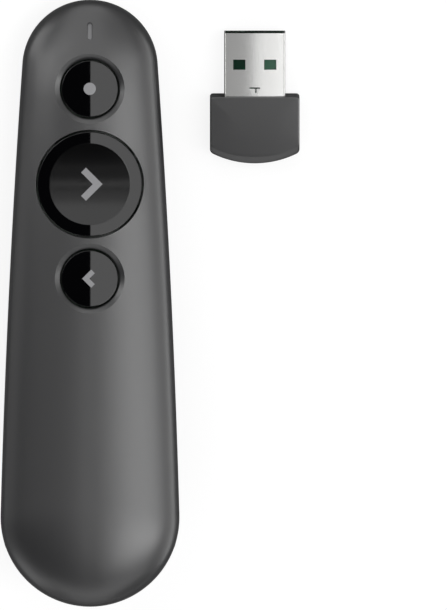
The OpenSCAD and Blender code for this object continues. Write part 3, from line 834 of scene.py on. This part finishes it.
def tongue_band(name, d0, out):
    """A band from d0 to the tongue's end. Its outer face lies out beyond the shell's inner wall."""
    places = [d0 + (TONGUE_D1 - d0) * k / 4 for k in range(5)]
    band = arch(name, -1, 2, places, lambda d: in_w(d) + out, lambda d: in_back(d) + out,
                pointed=False)
    cut(band, d0, TONGUE_TOP, UP, True)
    return applied(band, "SOLIDIFY", thickness=TONGUE_T + DOOR_GAP + out, offset=-1)


tongue = tongue_band("tongue", TONGUE_D0, -DOOR_GAP)
united(tongue, tongue_band("tongue_root", SEAM_D + SEAM_GAP + TONGUE_STEP, WALL / 2))
united(battery_door, tongue)
print("door with tongue", len(battery_door.data.polygons), "faces")

# %% [markdown]
# ## Finger grips
# A long shallow oval in each side of the door shows where to push. It is what a ball of large
# radius presses into the wall when it is dragged a little way: half a ball, a bar and half a
# ball, used as a cutter.

# %% Press the two grips
GRIP_DEPTH = 0.5
GRIP_TALL = 4.5
GRIP_LONG = 11.3
GRIP_D = SEAM_D + 7.7
GRIP_Z = -4.6
GRIP_R = ((GRIP_TALL / 2) ** 2 + GRIP_DEPTH ** 2) / (2 * GRIP_DEPTH)
GRIP_X = half_w(GRIP_D) * math.sqrt(1 - (GRIP_Z / back_h(GRIP_D)) ** 2)
GRIP_LEAN = math.atan2(-GRIP_Z / back_h(GRIP_D) ** 2, GRIP_X / half_w(GRIP_D) ** 2)
GRIP_TURN = SIDE_ANGLE * 1.1
for side in (-1, 1):
    only()
    bpy.ops.mesh.primitive_uv_sphere_add(segments=96, ring_count=64, radius=GRIP_R,
                                         rotation=(math.pi / 2, 0, 0))
    ball = fresh("grip_ball")
    for v in ball.data.vertices:
        if abs(v.co.y) > 1e-4:
            v.co.y += math.copysign((GRIP_LONG - GRIP_TALL) / 2, v.co.y)
    away = GRIP_R - GRIP_DEPTH
    out, down = away * math.cos(GRIP_LEAN), away * math.sin(GRIP_LEAN)
    spot = (side * (GRIP_X + out), y_at(GRIP_D), GRIP_Z - down)
    settle(ball, Matrix.Translation(spot) @ Matrix.Rotation(side * GRIP_TURN, 4, "Z"))
    drilled(battery_door, ball)
print("grips", GRIP_LONG, "by", GRIP_TALL, "mm")

# %% [markdown]
# ## Things draped on the face
# Holes, scoops and caps are all round seen from above and follow the face's curve. A plain
# cylinder would meet that curve at an uneven height, and its bevel would come out uneven too. So
# one helper extrudes a circle ring by ring and lays each ring on a given surface.

# %% A lathe whose rings follow a surface
ROUND = 96


def draped(name, d, rings, surface):
    """rings are (radius, height over the surface) or (radius, None, flat height)."""
    only()
    y = y_at(d)
    bpy.ops.mesh.primitive_circle_add(vertices=ROUND, radius=rings[0][0], location=(0, y, 0))
    piece = fresh(name)
    radius = rings[0][0]
    edit_all(piece)
    for k, ring in enumerate(rings):
        if k:
            bpy.ops.mesh.extrude_region_move(TRANSFORM_OT_translate={"value": (0, 0, 0)})
            share = ring[0] / radius
            bpy.ops.transform.resize(value=(share, share, 1), center_override=(0, y, 0))
            radius = ring[0]
        leave_edit()
        for v in piece.data.vertices:
            if v.select:
                v.co.z = ring[2] if ring[1] is None else surface(v.co.x, v.co.y) + ring[1]
        bpy.ops.object.mode_set(mode="EDIT")
    bpy.ops.mesh.edge_face_add()
    fill_rims()
    return piece


def over_face(x, y):
    return face_z(x, BODY_LEN / 2 - y)


print("the face lies", round(over_face(0, y_at(NEXT_D)), 2), "mm high under the large cap")

# %% Stand the screw posts inside the face shell
BOARD_SCREW_X = 8.6
PAST_LASER = 7.25
BEFORE_BACK = 6.8
EAR_X = 11.05
FAR_EAR_X = -12.55
board_screws_at = [(x, d) for d in (LASER_D + PAST_LASER, BACK_D - BEFORE_BACK)
                   for x in (-BOARD_SCREW_X, BOARD_SCREW_X)]
case_screws_at = [(EAR_X, CELL_D0 + 6.5), (EAR_X, CELL_D1 - 16.0), (FAR_EAR_X, CELL_D0 + 3.0)]
posts = []
for places, low in ((board_screws_at, BOARD_TOP), (case_screws_at, EAR_Z)):
    for x, d in places:
        high = face_z(abs(x) + POST_R, d) - WALL / 4
        posts.append(upright("post", x, d, POST_R, low, high))
united(front_shell, joined(posts))
print(len(posts), "screw posts")

# %% Draw the cutters for the button holes
# The large hole has a rounded edge. Round each small one the face is scooped like a cone.
HOLE_FLOOR = 1.0
ABOVE = 12.0
hole_r = BIG_R + CAP_GAP
big_rings = [(hole_r, None, HOLE_FLOOR), (hole_r, -0.16), (hole_r + 0.04, -0.06),
             (hole_r + 0.14, 0.03), (hole_r + 0.3, 0.13), (hole_r + 0.3, None, ABOVE)]
cutters = [draped("big_cutter", NEXT_D, big_rings, over_face)]
hole_r = SMALL_R + CAP_GAP
rim_r = hole_r + SCOOP_W
scoop_rings = [(hole_r, None, HOLE_FLOOR), (hole_r, -SCOOP_H * 1.1), (hole_r + 0.05, -SCOOP_H)]
for share, depth in ((0.35, 0.69), (0.65, 0.37), (0.9, 0.1)):
    scoop_rings.append((hole_r + SCOOP_W * share, -SCOOP_H * depth))
scoop_rings += [(rim_r, 0.01), (rim_r + 0.1, 0.09), (rim_r + 0.1, None, ABOVE)]
cutters += [draped("small_cutter", d, scoop_rings, over_face) for d in (LASER_D, BACK_D)]
print(len(cutters), "holes")

# %% Cut the holes, the status light's slot and the bore, and finish the mouldings
# Cut faces are long and thin beside wide ones. Normals weighted by area keep the wide ones smooth.
cutters.append(upright("slot_cutter", 0, LED_D, LED_W / 2, BOARD_TOP, ABOVE, LED_LEN))
cutters.append(bore_cutter())
drilled(front_shell, joined(cutters))
mouldings = [(front_shell, "front_shell", "clicker"), (rear_shell, "rear_shell", "clicker"),
             (battery_door, "battery_door", "battery_door")]
for moulding, name, body in mouldings:
    smooth(moulding)
    applied(moulding, "WEIGHTED_NORMAL", keep_sharp=True, weight=90)
    settle(moulding)
    stands_for(moulding, name, body)

# %% [markdown]
# ## Status light
# The light guide is a small clear bar with round ends that carries a lamp's light from the board
# up through the face. It starts as a thin bar, and its top points are then laid on the face's own
# formula, a little under it. The top slants, lower towards the nose, so a thin shadow marks that
# end.

# %% Fit the light guide
LED_SINK = 0.03
LED_SLANT = 0.3
LED_ROOM = 0.02
GUIDE_Z = BOARD_TOP + 0.6
GUIDE_T = 0.3
guide = upright("led_lens_bar", 0, LED_D, LED_W / 2 - LED_ROOM, GUIDE_Z, GUIDE_Z + GUIDE_T,
                LED_LEN - 2 * LED_ROOM)
for v in guide.data.vertices:
    if v.co.z > GUIDE_Z + GUIDE_T / 2:
        d = BODY_LEN / 2 - v.co.y
        noseward = (LED_D + LED_LEN / 2 - d) / LED_LEN
        v.co.z = face_z(v.co.x, d) - LED_SINK - LED_SLANT * noseward
edges_broken(guide, 0.08)
smooth(guide)
settle(guide)
stands_for(guide, "led_lens", "clicker")

# %% [markdown]
# ## Caps
# The caps share one crown across the body. The large one has a finger dish that is as hollow
# along the body as the crown is round across it, so the dish's rim is a true circle. Cutting them
# with large cylinders would do, but long thin faces would show in the polish. So they are
# draped on formulas too, with a finely rounded edge.

# %% Make the three caps
CAP_FLOOR = 3.6
CAP_EDGE = 0.1
DISH_DEPTH = DISH_R ** 2 / (2 * CAP_CROWN_R)


def crown_over(d):
    top = front_h(d) - CAP_SINK
    return lambda x, y: top - CAP_CROWN_R + math.sqrt(CAP_CROWN_R ** 2 - x ** 2)


def dish_floor(x, y):
    top = front_h(NEXT_D) - CAP_SINK - DISH_DEPTH
    return top + CAP_CROWN_R - math.sqrt(CAP_CROWN_R ** 2 - (y - y_at(NEXT_D)) ** 2)


def dished(x, y):
    return min(crown_over(NEXT_D)(x, y), dish_floor(x, y))


def cap_rings(r, inner):
    edge = [(r, None, CAP_FLOOR)]
    for k in range(5):
        turn = math.pi / 2 * k / 4
        edge.append((r - CAP_EDGE * (1 - math.cos(turn)), -CAP_EDGE * (1 - math.sin(turn))))
    return edge + [(q, 0) for q in inner]


FLAT_FROM = 0.03
inwards = (0.85, 0.7, 0.55, 0.4, 0.25, 0.12, 0.04)
small_inner = [SMALL_R - CAP_EDGE - FLAT_FROM] + [SMALL_R * s for s in (0.94, *inwards)]
big_inner = [BIG_R - CAP_EDGE - FLAT_FROM]
big_inner += [DISH_R + past for past in (1.7, 1.2, 0.6, 0.2, 0.04, 0, -0.04)]
big_inner += [DISH_R * s for s in (0.98, 0.95, *inwards)]
caps = [("laser_cap", LASER_D, SMALL_R, small_inner, crown_over(LASER_D), "laser_button"),
        ("next_cap", NEXT_D, BIG_R, big_inner, dished, "next_button"),
        ("back_cap", BACK_D, SMALL_R, small_inner, crown_over(BACK_D), "back_button")]
for name, d, r, inner, surface, body in caps:
    cap = draped(name + "_top", d, cap_rings(r, inner), surface)
    cap.data.materials.append(finishes["button_gloss"])
    cap.data.materials.append(finishes["dish_satin"])
    if name == "next_cap":
        for f in cap.data.polygons:
            inside = math.hypot(f.center.x, f.center.y - y_at(d)) < DISH_R
            f.material_index = int(inside and f.normal.z > 0.5)
    smooth(cap, 20)
    settle(cap)
    stands_for(cap, name, body)

# %% [markdown]
# ## Signs
# The dot and the two arrows are inlays in light grey, flush with the caps. A picture on the cap
# would blur close up, so they are solid. Each is drawn flat, cut into small faces, laid on the
# cap's surface and thickened. It lies a hair above the cap so that the two don't flicker.

# %% Draw a sign on a cap
INLAY = 0.3
PROUD = 0.012
SIGN_STEP = 0.4


def arrow_points(high, stroke, x, way):
    """An arrow head about x. way is 1 to the right and -1 to the left."""
    w = high / 2 + stroke / math.sqrt(2)
    s = stroke / math.sqrt(2)
    flat = [(-w / 2, high / 2 - s), (-w / 2 + s, high / 2), (w / 2, 0), (-w / 2 + s, -high / 2),
            (-w / 2, -high / 2 + s), (w / 2 - 2 * s, 0)]
    return [(x + way * px, py) for px, py in flat]


def inlay(name, d, points, surface):
    """A flat outline, cut into small faces so that it can follow the cap, then thickened."""
    sheet = bpy.data.meshes.new(name + "_top")
    sheet.from_pydata([(x, y + y_at(d), 0) for x, y in points], [], [tuple(range(len(points)))])
    sign = bpy.data.objects.new(name + "_top", sheet)
    bpy.context.scene.collection.objects.link(sign)
    edit_all(sign)
    for axis in (0, 1):
        for k in range(-10, 11):
            bpy.ops.mesh.select_all(action="SELECT")
            spot = [0, y_at(d), 0]
            spot[axis] += k * SIGN_STEP
            bpy.ops.mesh.bisect(plane_co=spot, plane_no=(1 - axis, axis, 0))
    leave_edit()
    for v in sign.data.vertices:
        v.co.z = surface(v.co.x, v.co.y) + PROUD
    if sign.data.polygons[0].normal.z < 0:
        flip(sign)
    return applied(sign, "SOLIDIFY", thickness=INLAY, offset=-1)


print("signs lie", PROUD, "mm above the caps")

# %% Make the three signs
DOT_R = 1.2
DOT_SIDES = 48
turns = [math.tau * k / DOT_SIDES for k in range(DOT_SIDES)]
dot_points = [(DOT_R * math.cos(turn), DOT_R * math.sin(turn)) for turn in turns]
next_points = arrow_points(high=6.5, stroke=1.35, x=0.4, way=1)
back_points = arrow_points(high=3.55, stroke=1.0, x=-0.25, way=-1)
signs = [("laser_dot", LASER_D, dot_points, crown_over(LASER_D), "laser_button"),
         ("next_arrow", NEXT_D, next_points, dish_floor, "next_button"),
         ("back_arrow", BACK_D, back_points, crown_over(BACK_D), "back_button")]
for name, d, points, surface, body in signs:
    sign = inlay(name, d, points, surface)
    smooth(sign)
    settle(sign)
    stands_for(sign, name, body)

# %% [markdown]
# ## Receiver
# The real one has two moulded halves that meet at half height and hold the plug between them.
# Their base edge is curved, so a bevelled block won't do. Each half is lofted instead: one
# outline, drawn in a little more on each ring towards the broad side. It is modelled in its own
# frame, the base edge at y = 0 and the plug towards +Y.

# %% Receiver sizes
RX_W = 17.6
RX_LEN = 13.2
RX_T = 6.4
RX_END_R = 18.7
PLUG_W = 12.0
PLUG_T = 4.5
PLUG_LEN = 12.5
PLUG_ROOT = 2.5
PLUG_WALL = 0.3
rx_low, rx_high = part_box("receiver_housing")
BESIDE = Matrix.Translation(((rx_low.x + rx_high.x) / 2, rx_low.y, 0)) @ Matrix.Scale(MM, 4)
print("receiver base at", round(rx_low.y / MM, 2), "mm")


# %% The housing's outline as a function, and a loft through rings of equal count
RX_CORNER = 0.6
RX_EDGE = 0.22
BASE_FACET = 1.35
BASE_DROP = 0.4
RX_CROWN = 0.2
BASE_STEPS = 36
CORNER_STEPS = 5


def plan(side_in, base_in):
    """The outline seen from above, drawn in at its sides and at its base."""
    half, top, r = RX_W / 2 - side_in, RX_LEN - side_in, max(0.15, RX_CORNER - side_in)
    points = []
    for k in range(BASE_STEPS + 1):
        x = half * math.sin(math.pi / 2 * (2 * k / BASE_STEPS - 1))
        past = max(0, abs(x) - half + r)
        base = RX_END_R - math.sqrt((RX_END_R - base_in) ** 2 - x ** 2)
        points.append((x, base + r - math.sqrt(max(0, r ** 2 - past ** 2))))
    climb = [points[-1][1] + BASE_FACET * (k + 1) / 3 for k in range(3)]
    points += [(half, y) for y in climb]
    for middle, start in ((half - r, 0), (r - half, 90)):
        for k in range(CORNER_STEPS + 1):
            turn = math.radians(start + 90 * k / CORNER_STEPS)
            points.append((middle + r * math.cos(turn), top - r + r * math.sin(turn)))
    return points + [(-half, y) for y in reversed(climb)]


def lofted(name, rings):
    """Starts from the first ring as a face, extrudes it and lays it on each next ring."""
    sheet = bpy.data.meshes.new(name)
    sheet.from_pydata(rings[0], [], [tuple(range(len(rings[0])))])
    piece = bpy.data.objects.new(name, sheet)
    bpy.context.scene.collection.objects.link(piece)
    edit_all(piece)
    for before, ring in zip(rings, rings[1:]):
        bpy.ops.mesh.extrude_region_move(TRANSFORM_OT_translate={"value": (0, 0, 0)})
        leave_edit()
        goal = {tuple(round(c, 3) for c in old): new for old, new in zip(before, ring)}
        for v in piece.data.vertices:
            if v.select:
                v.co = goal[tuple(round(c, 3) for c in v.co)]
        bpy.ops.object.mode_set(mode="EDIT")
    face_outwards()
    return piece


print("points in the outline:", len(plan(0, 0)))


# %% Make the housing and its cover
RX_SEAM = 0.05


def block(name, low, high):
    """A block between two opposite corners."""
    only()
    bpy.ops.mesh.primitive_cube_add(size=1, location=[(a + b) / 2 for a, b in zip(low, high)])
    bpy.context.object.scale = [b - a for a, b in zip(low, high)]
    return fresh(name)


def housing_half(name, side):
    """side is 1 for the cover and -1 for the housing. Its base edge has a low slanting facet."""
    def ring(side_in, base_in, depth):
        laid = []
        for x, y in plan(side_in, base_in):
            inland = y - RX_END_R + math.sqrt(RX_END_R ** 2 - x ** 2)
            slope = BASE_DROP * max(0, 1 - inland / BASE_FACET)
            crown = RX_CROWN * ((2 * x / RX_W) ** 2 + (2 * y / RX_LEN - 1) ** 2) / 2
            laid.append((x, y, RX_T / 2 + side * (RX_T / 2 - depth - slope - crown)))
        return laid
    rings = [[(x, y, RX_T / 2) for x, y in plan(RX_SEAM, RX_SEAM)],
             [(x, y, RX_T / 2 + side * 0.06) for x, y in plan(0, 0)]]
    for k in range(4):
        turn = math.pi / 2 * k / 3
        shrink = RX_EDGE * (1 - math.cos(turn))
        rings.append(ring(shrink, shrink, RX_EDGE * (1 - math.sin(turn))))
    rings.append(ring(RX_EDGE + 0.05, BASE_FACET - 0.05, 0))
    for more in (0.05, 0.4, 1.2, 2.2, 3.4, 4.6):
        rings.append(ring(RX_EDGE + 0.05 + more, BASE_FACET + more, 0))
    return lofted(name, rings)


for name, side in (("receiver_housing", -1), ("receiver_cover", 1)):
    half = housing_half(name + "_shell", side)
    drilled(half, block("plug_room", (-PLUG_W / 2, RX_LEN - PLUG_ROOT, RX_T / 2 - PLUG_T / 2),
                        (PLUG_W / 2, RX_LEN + 1, RX_T / 2 + PLUG_T / 2)))
    smooth(half, 25)
    settle(half, BESIDE)
    stands_for(half, name, "receiver")

# %% [markdown]
# ### Plug shield
# The shield is one strip of steel folded to a flat tube, with a pair of latch windows in each
# broad side. A block with a hollow cut out of it would have sharp inner corners. So an outline
# with rounded corners is extruded along the plug and thickened inwards, which gives the even wall
# of a folded strip. A folded strip is never quite flat either, so its broad sides are very
# slightly crowned.

# %% Fold the shield
SHIELD_CROWN_R = 130.0
SHIELD_CORNER = 0.3
SHEET_TOP = RX_T / 2 + PLUG_T / 2
ON_BROAD = 0.01


def on_broad_side(place):
    return abs(abs(place.z - RX_T / 2) - PLUG_T / 2) < ON_BROAD


only()
bpy.ops.mesh.primitive_plane_add(size=1, rotation=(math.pi / 2, 0, 0),
                                 location=(0, RX_LEN - PLUG_ROOT, RX_T / 2))
bpy.context.object.scale = (PLUG_W, PLUG_T, 1)
shield = fresh("usb_shield_sheet")
edit_all(shield)
bpy.ops.mesh.delete(type="ONLY_FACE")
bpy.ops.mesh.select_all(action="SELECT")
bpy.ops.mesh.bevel(offset=SHIELD_CORNER, segments=5, affect="VERTICES")
pick(shield, on_broad_side)
bpy.ops.mesh.subdivide(number_cuts=15)
leave_edit()
for v in shield.data.vertices:
    if on_broad_side(v.co):
        v.co.z -= math.copysign(v.co.x ** 2 / (2 * SHIELD_CROWN_R), v.co.z - RX_T / 2)
edit_all(shield)
bpy.ops.mesh.extrude_region_move(TRANSFORM_OT_translate={"value": (0, PLUG_ROOT + PLUG_LEN, 0)})
face_outwards()
applied(shield, "SOLIDIFY", thickness=PLUG_WALL, offset=-1)
print("shield", len(shield.data.polygons), "faces")

# %% Cut the latch windows
LATCH_W = 2.4
LATCH_L = 2.0
LATCH_X = 3.035
LATCH_Y = RX_LEN + PLUG_LEN - 6.2
for x in (-LATCH_X, LATCH_X):
    drilled(shield, block("latch_window", (x - LATCH_W / 2, LATCH_Y - LATCH_L / 2, -1),
                          (x + LATCH_W / 2, LATCH_Y + LATCH_L / 2, RX_T + 1)))
print("shield with windows", len(shield.data.polygons), "faces")

# %% Press the small crimp into the shield, just above the housing
CRIMP_LOW = RX_LEN + 0.2
CRIMP_TOP = RX_LEN + 1.8
CRIMP_HALF = 1.05
CRIMP_NARROW = 0.45
CRIMP_DEPTH = 0.06
SLIT_W = 0.26
THROUGH = SHEET_TOP - 0.5
CLEAR = SHEET_TOP + 1
crimp = block("crimp", (-CRIMP_HALF, CRIMP_LOW, SHEET_TOP - CRIMP_DEPTH),
              (CRIMP_HALF, CRIMP_TOP - 0.1, CLEAR))
for v in crimp.data.vertices:
    if v.co.y < RX_LEN + 1:
        v.co.x *= CRIMP_NARROW
drilled(shield, crimp)
drilled(shield, block("slit", (-CRIMP_HALF, CRIMP_TOP - SLIT_W, THROUGH),
                      (CRIMP_HALF, CRIMP_TOP, CLEAR)))
drilled(shield, block("tick", (0.1, CRIMP_TOP - 1.1, THROUGH), (0.35, CRIMP_TOP - 0.1, CLEAR)))
smooth(shield, 35)
settle(shield, BESIDE)
stands_for(shield, "usb_shield", "receiver")

# %% [markdown]
# ### Light for the flat steel
# A flat bright sheet shows only what stands in one narrow direction, so it comes out either all
# bright or all dark. Two narrow cards stand where only a level sheet shows them. The dish in the
# large cap would show them too, so they are linked to the shield alone.

# %% Light the flat steel by itself
steel_only = bpy.data.collections.new("steel_only")
steel_only.objects.link(shield)
for lamp in plug_cards:
    lamp.light_linking.receiver_collection = steel_only
print("cards for the steel:", len(plug_cards))

# %% [markdown]
# ## Turned pieces
# The cell, its sleeve, the laser's window and barrel, and the screws are round about one axis.
# Plain cylinders would lack the cell's rolled shoulder, the barrel's groove and the window's
# dome. So one helper draws them as a lathe would: a circle, extruded and resized step by step.


# %% A lathe
def turned(name, steps, sides=64):
    """steps are (radius, height) from one end to the other."""
    only()
    bpy.ops.mesh.primitive_circle_add(vertices=sides, radius=steps[0][0],
                                      location=(0, 0, steps[0][1]))
    edit_all(fresh(name))
    for (r0, h0), (r1, h1) in zip(steps, steps[1:]):
        bpy.ops.mesh.extrude_region_move(TRANSFORM_OT_translate={"value": (0, 0, h1 - h0)})
        bpy.ops.transform.resize(value=(r1 / r0, r1 / r0, 1), center_override=(0, 0, h1))
    fill_rims()
    return bpy.context.object


def lying(x, z, d):
    """The place of a turned piece that points to the tail, its height counted from station d."""
    return Matrix.Translation((x, y_at(d), z)) @ Matrix.Rotation(math.pi / 2, 4, "X")


print("lathe ready")

# %% Turn the cell, its sleeve, the barrel and the window
SLEEVE_T = 0.15
NUB_H = 1.0
BARREL_D = 12.0
DOME_H = 0.28
WINDOW_D = 4.0
cell_long = CELL_D1 - CELL_D0
can_top = cell_long - NUB_H
can_r = CELL_R - SLEEVE_T
cell_steps = [(3.6, 0.15), (3.9, 0.0), (4.5, 0.0), (can_r - 0.25, 0.08), (can_r, 0.35),
              (can_r, can_top - 0.9), (can_r - 0.3, can_top - 0.45), (can_r - 0.7, can_top - 0.15),
              (3.2, can_top), (2.3, can_top), (1.95, can_top + 0.15),
              (1.9, cell_long - 0.25), (1.7, cell_long - 0.05), (1.4, cell_long)]
sleeve_steps = [(can_r - 0.5, 0.42), (CELL_R - 0.1, 0.4), (CELL_R, 0.5), (CELL_R, can_top - 0.6),
                (CELL_R - 0.12, can_top - 0.42), (can_r - 0.5, can_top - 0.4)]
barrel_steps = [(1.0, 1.2), (1.05, 0.15), (1.2, 0.0), (2.0, 0.0), (2.1, 0.1), (2.1, 1.6),
                (2.0, 1.7), (2.0, 2.0), (2.1, 2.1), (2.1, 10.4), (2.0, 10.5)]
window_steps = [(0.05, -DOME_H), (0.5, -0.24), (0.85, -0.14), (1.1, 0.0), (WINDOW_R, 0.08),
                (WINDOW_R, 2.95), (1.1, 3.0)]
turned_pieces = [("battery_cell", cell_steps, lying(CELL_X, CELL_Z, CELL_D0)),
                 ("battery_sleeve", sleeve_steps, lying(CELL_X, CELL_Z, CELL_D0)),
                 ("laser_barrel", barrel_steps, lying(0, LASER_Z, BARREL_D)),
                 ("laser_window", window_steps, lying(0, LASER_Z, WINDOW_D + DOME_H))]
for name, steps, place in turned_pieces:
    piece = turned(name + "_turned", steps)
    smooth(piece, 35)
    settle(piece, REST @ place)
    stands_for(piece, name, "clicker")

# %% [markdown]
# ## Screws
# Seven self-tapping screws hold the board and the battery tray to the face shell. They are bought
# parts and all alike. So one is turned, its cross is cut with two bars, and copies of it go to
# all places, each turned by another angle, because no screw stops where its neighbour does. Their
# threads sit in the posts and are left plain.

# %% Turn one screw and copy it
HEAD_R = 1.5
HEAD_H = 0.8
SCREW_R = 0.65
BITE = 1.6
SHEET_T = 0.8
CROSS_LONG = 1.5
CROSS_SLIM = 0.32
CROSS_DEEP = 0.42
tip = SHEET_T + BITE
head_steps = [(0.3, -HEAD_H), (0.9, -HEAD_H), (1.25, -HEAD_H + 0.12), (HEAD_R, -HEAD_H + 0.4),
              (HEAD_R, -0.02), (HEAD_R - 0.05, 0.0),
              (SCREW_R, 0.0), (SCREW_R, tip - 0.4), (0.2, tip)]
pattern = turned("screw", head_steps, 32)
for wide, tall in ((CROSS_LONG, CROSS_SLIM), (CROSS_SLIM, CROSS_LONG)):
    drilled(pattern, block("cross", (-wide / 2, -tall / 2, -HEAD_H - 1),
                           (wide / 2, tall / 2, -HEAD_H + CROSS_DEEP)))
smooth(pattern, 30)
groups = [("board_screws", board_screws_at, BOARD_TOP - SHEET_T),
          ("case_screws", case_screws_at, EAR_Z - SHEET_T)]
for name, places, low in groups:
    screws = []
    for k, (x, d) in enumerate(places):
        screw = copy_of(pattern, name + "_turned")
        turn = Matrix.Rotation(0.7 * k + 0.3, 4, "Z")
        screw.matrix_world = Matrix.Translation((x, y_at(d), low)) @ turn
        screws.append(screw)
    group = joined(screws)
    only(group)
    bpy.ops.object.transform_apply(location=True, rotation=True, scale=True)
    settle(group)
    stands_for(group, name, "clicker")
bpy.data.objects.remove(pattern)
print(len(board_screws_at) + len(case_screws_at), "screws")

# %% [markdown]
# ## Spring
# The spring that presses on the cell's flat end is a cone of steel wire, so that its coils fit
# into each other when it is pressed. A curve with a round bevel would do too. Here the wire's
# circle is swept by a Screw modifier, and the coil is then drawn in towards the cell.

# %% Wind the spring
WIRE_R = 0.3
COIL_WIDE = 4.2
COIL_SLIM = 2.2
TURNS = 2.5
SPRING_H = 2.8
SPRING_D0 = CELL_D0 - SPRING_H
SPRING_RUN = SPRING_H - 2 * WIRE_R
only()
bpy.ops.mesh.primitive_circle_add(vertices=16, radius=WIRE_R, rotation=(math.pi / 2, 0, 0),
                                  location=(COIL_WIDE, 0, 0))
spring = fresh("negative_spring_wire")
applied(spring, "SCREW", angle=TURNS * math.tau, screw_offset=SPRING_RUN, steps=120,
        render_steps=120, axis="Z", use_smooth_shade=True)
edit_all(spring)
fill_rims()
for v in spring.data.vertices:
    reach = math.hypot(v.co.x, v.co.y)
    share = min(1, max(0, v.co.z / SPRING_RUN))
    slim = (reach - share * (COIL_WIDE - COIL_SLIM)) / reach
    v.co.x *= slim
    v.co.y *= slim
smooth(spring, 60)
settle(spring, REST @ lying(CELL_X, CELL_Z, SPRING_D0 + WIRE_R))
stands_for(spring, "negative_spring", "clicker")

# %% [markdown]
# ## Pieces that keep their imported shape
# Boards, chips, switches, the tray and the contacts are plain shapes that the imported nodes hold
# already. Each gets a copy whose doubles are merged, whose flats are joined again and whose edges
# are broken, because no moulded or cut edge is perfectly sharp and the fine bevel catches light.


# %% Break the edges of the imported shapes
def edged(name, body, width):
    cad = frame["nodes"][name]
    twin = copy_of(cad, name + "_edged")
    twin.data.materials.clear()
    edit_all(twin)
    bpy.ops.mesh.remove_doubles(threshold=1e-7)
    bpy.ops.mesh.dissolve_limited(angle_limit=math.radians(1))
    leave_edit()
    edges_broken(twin, width * MM)
    smooth(twin, 40)
    stands_for(twin, name, body)


inner_pieces = [("battery_tray", "clicker", 0.08), ("main_board", "clicker", 0.05),
                ("button_switches", "clicker", 0.06), ("board_chips", "clicker", 0.06),
                ("status_led", "clicker", 0.05), ("laser_holder", "clicker", 0.1),
                ("positive_contact", "clicker", 0.06), ("receiver_board", "receiver", 0.04),
                ("usb_contacts", "receiver", 0.03)]
for name, body, width in inner_pieces:
    edged(name, body, width)
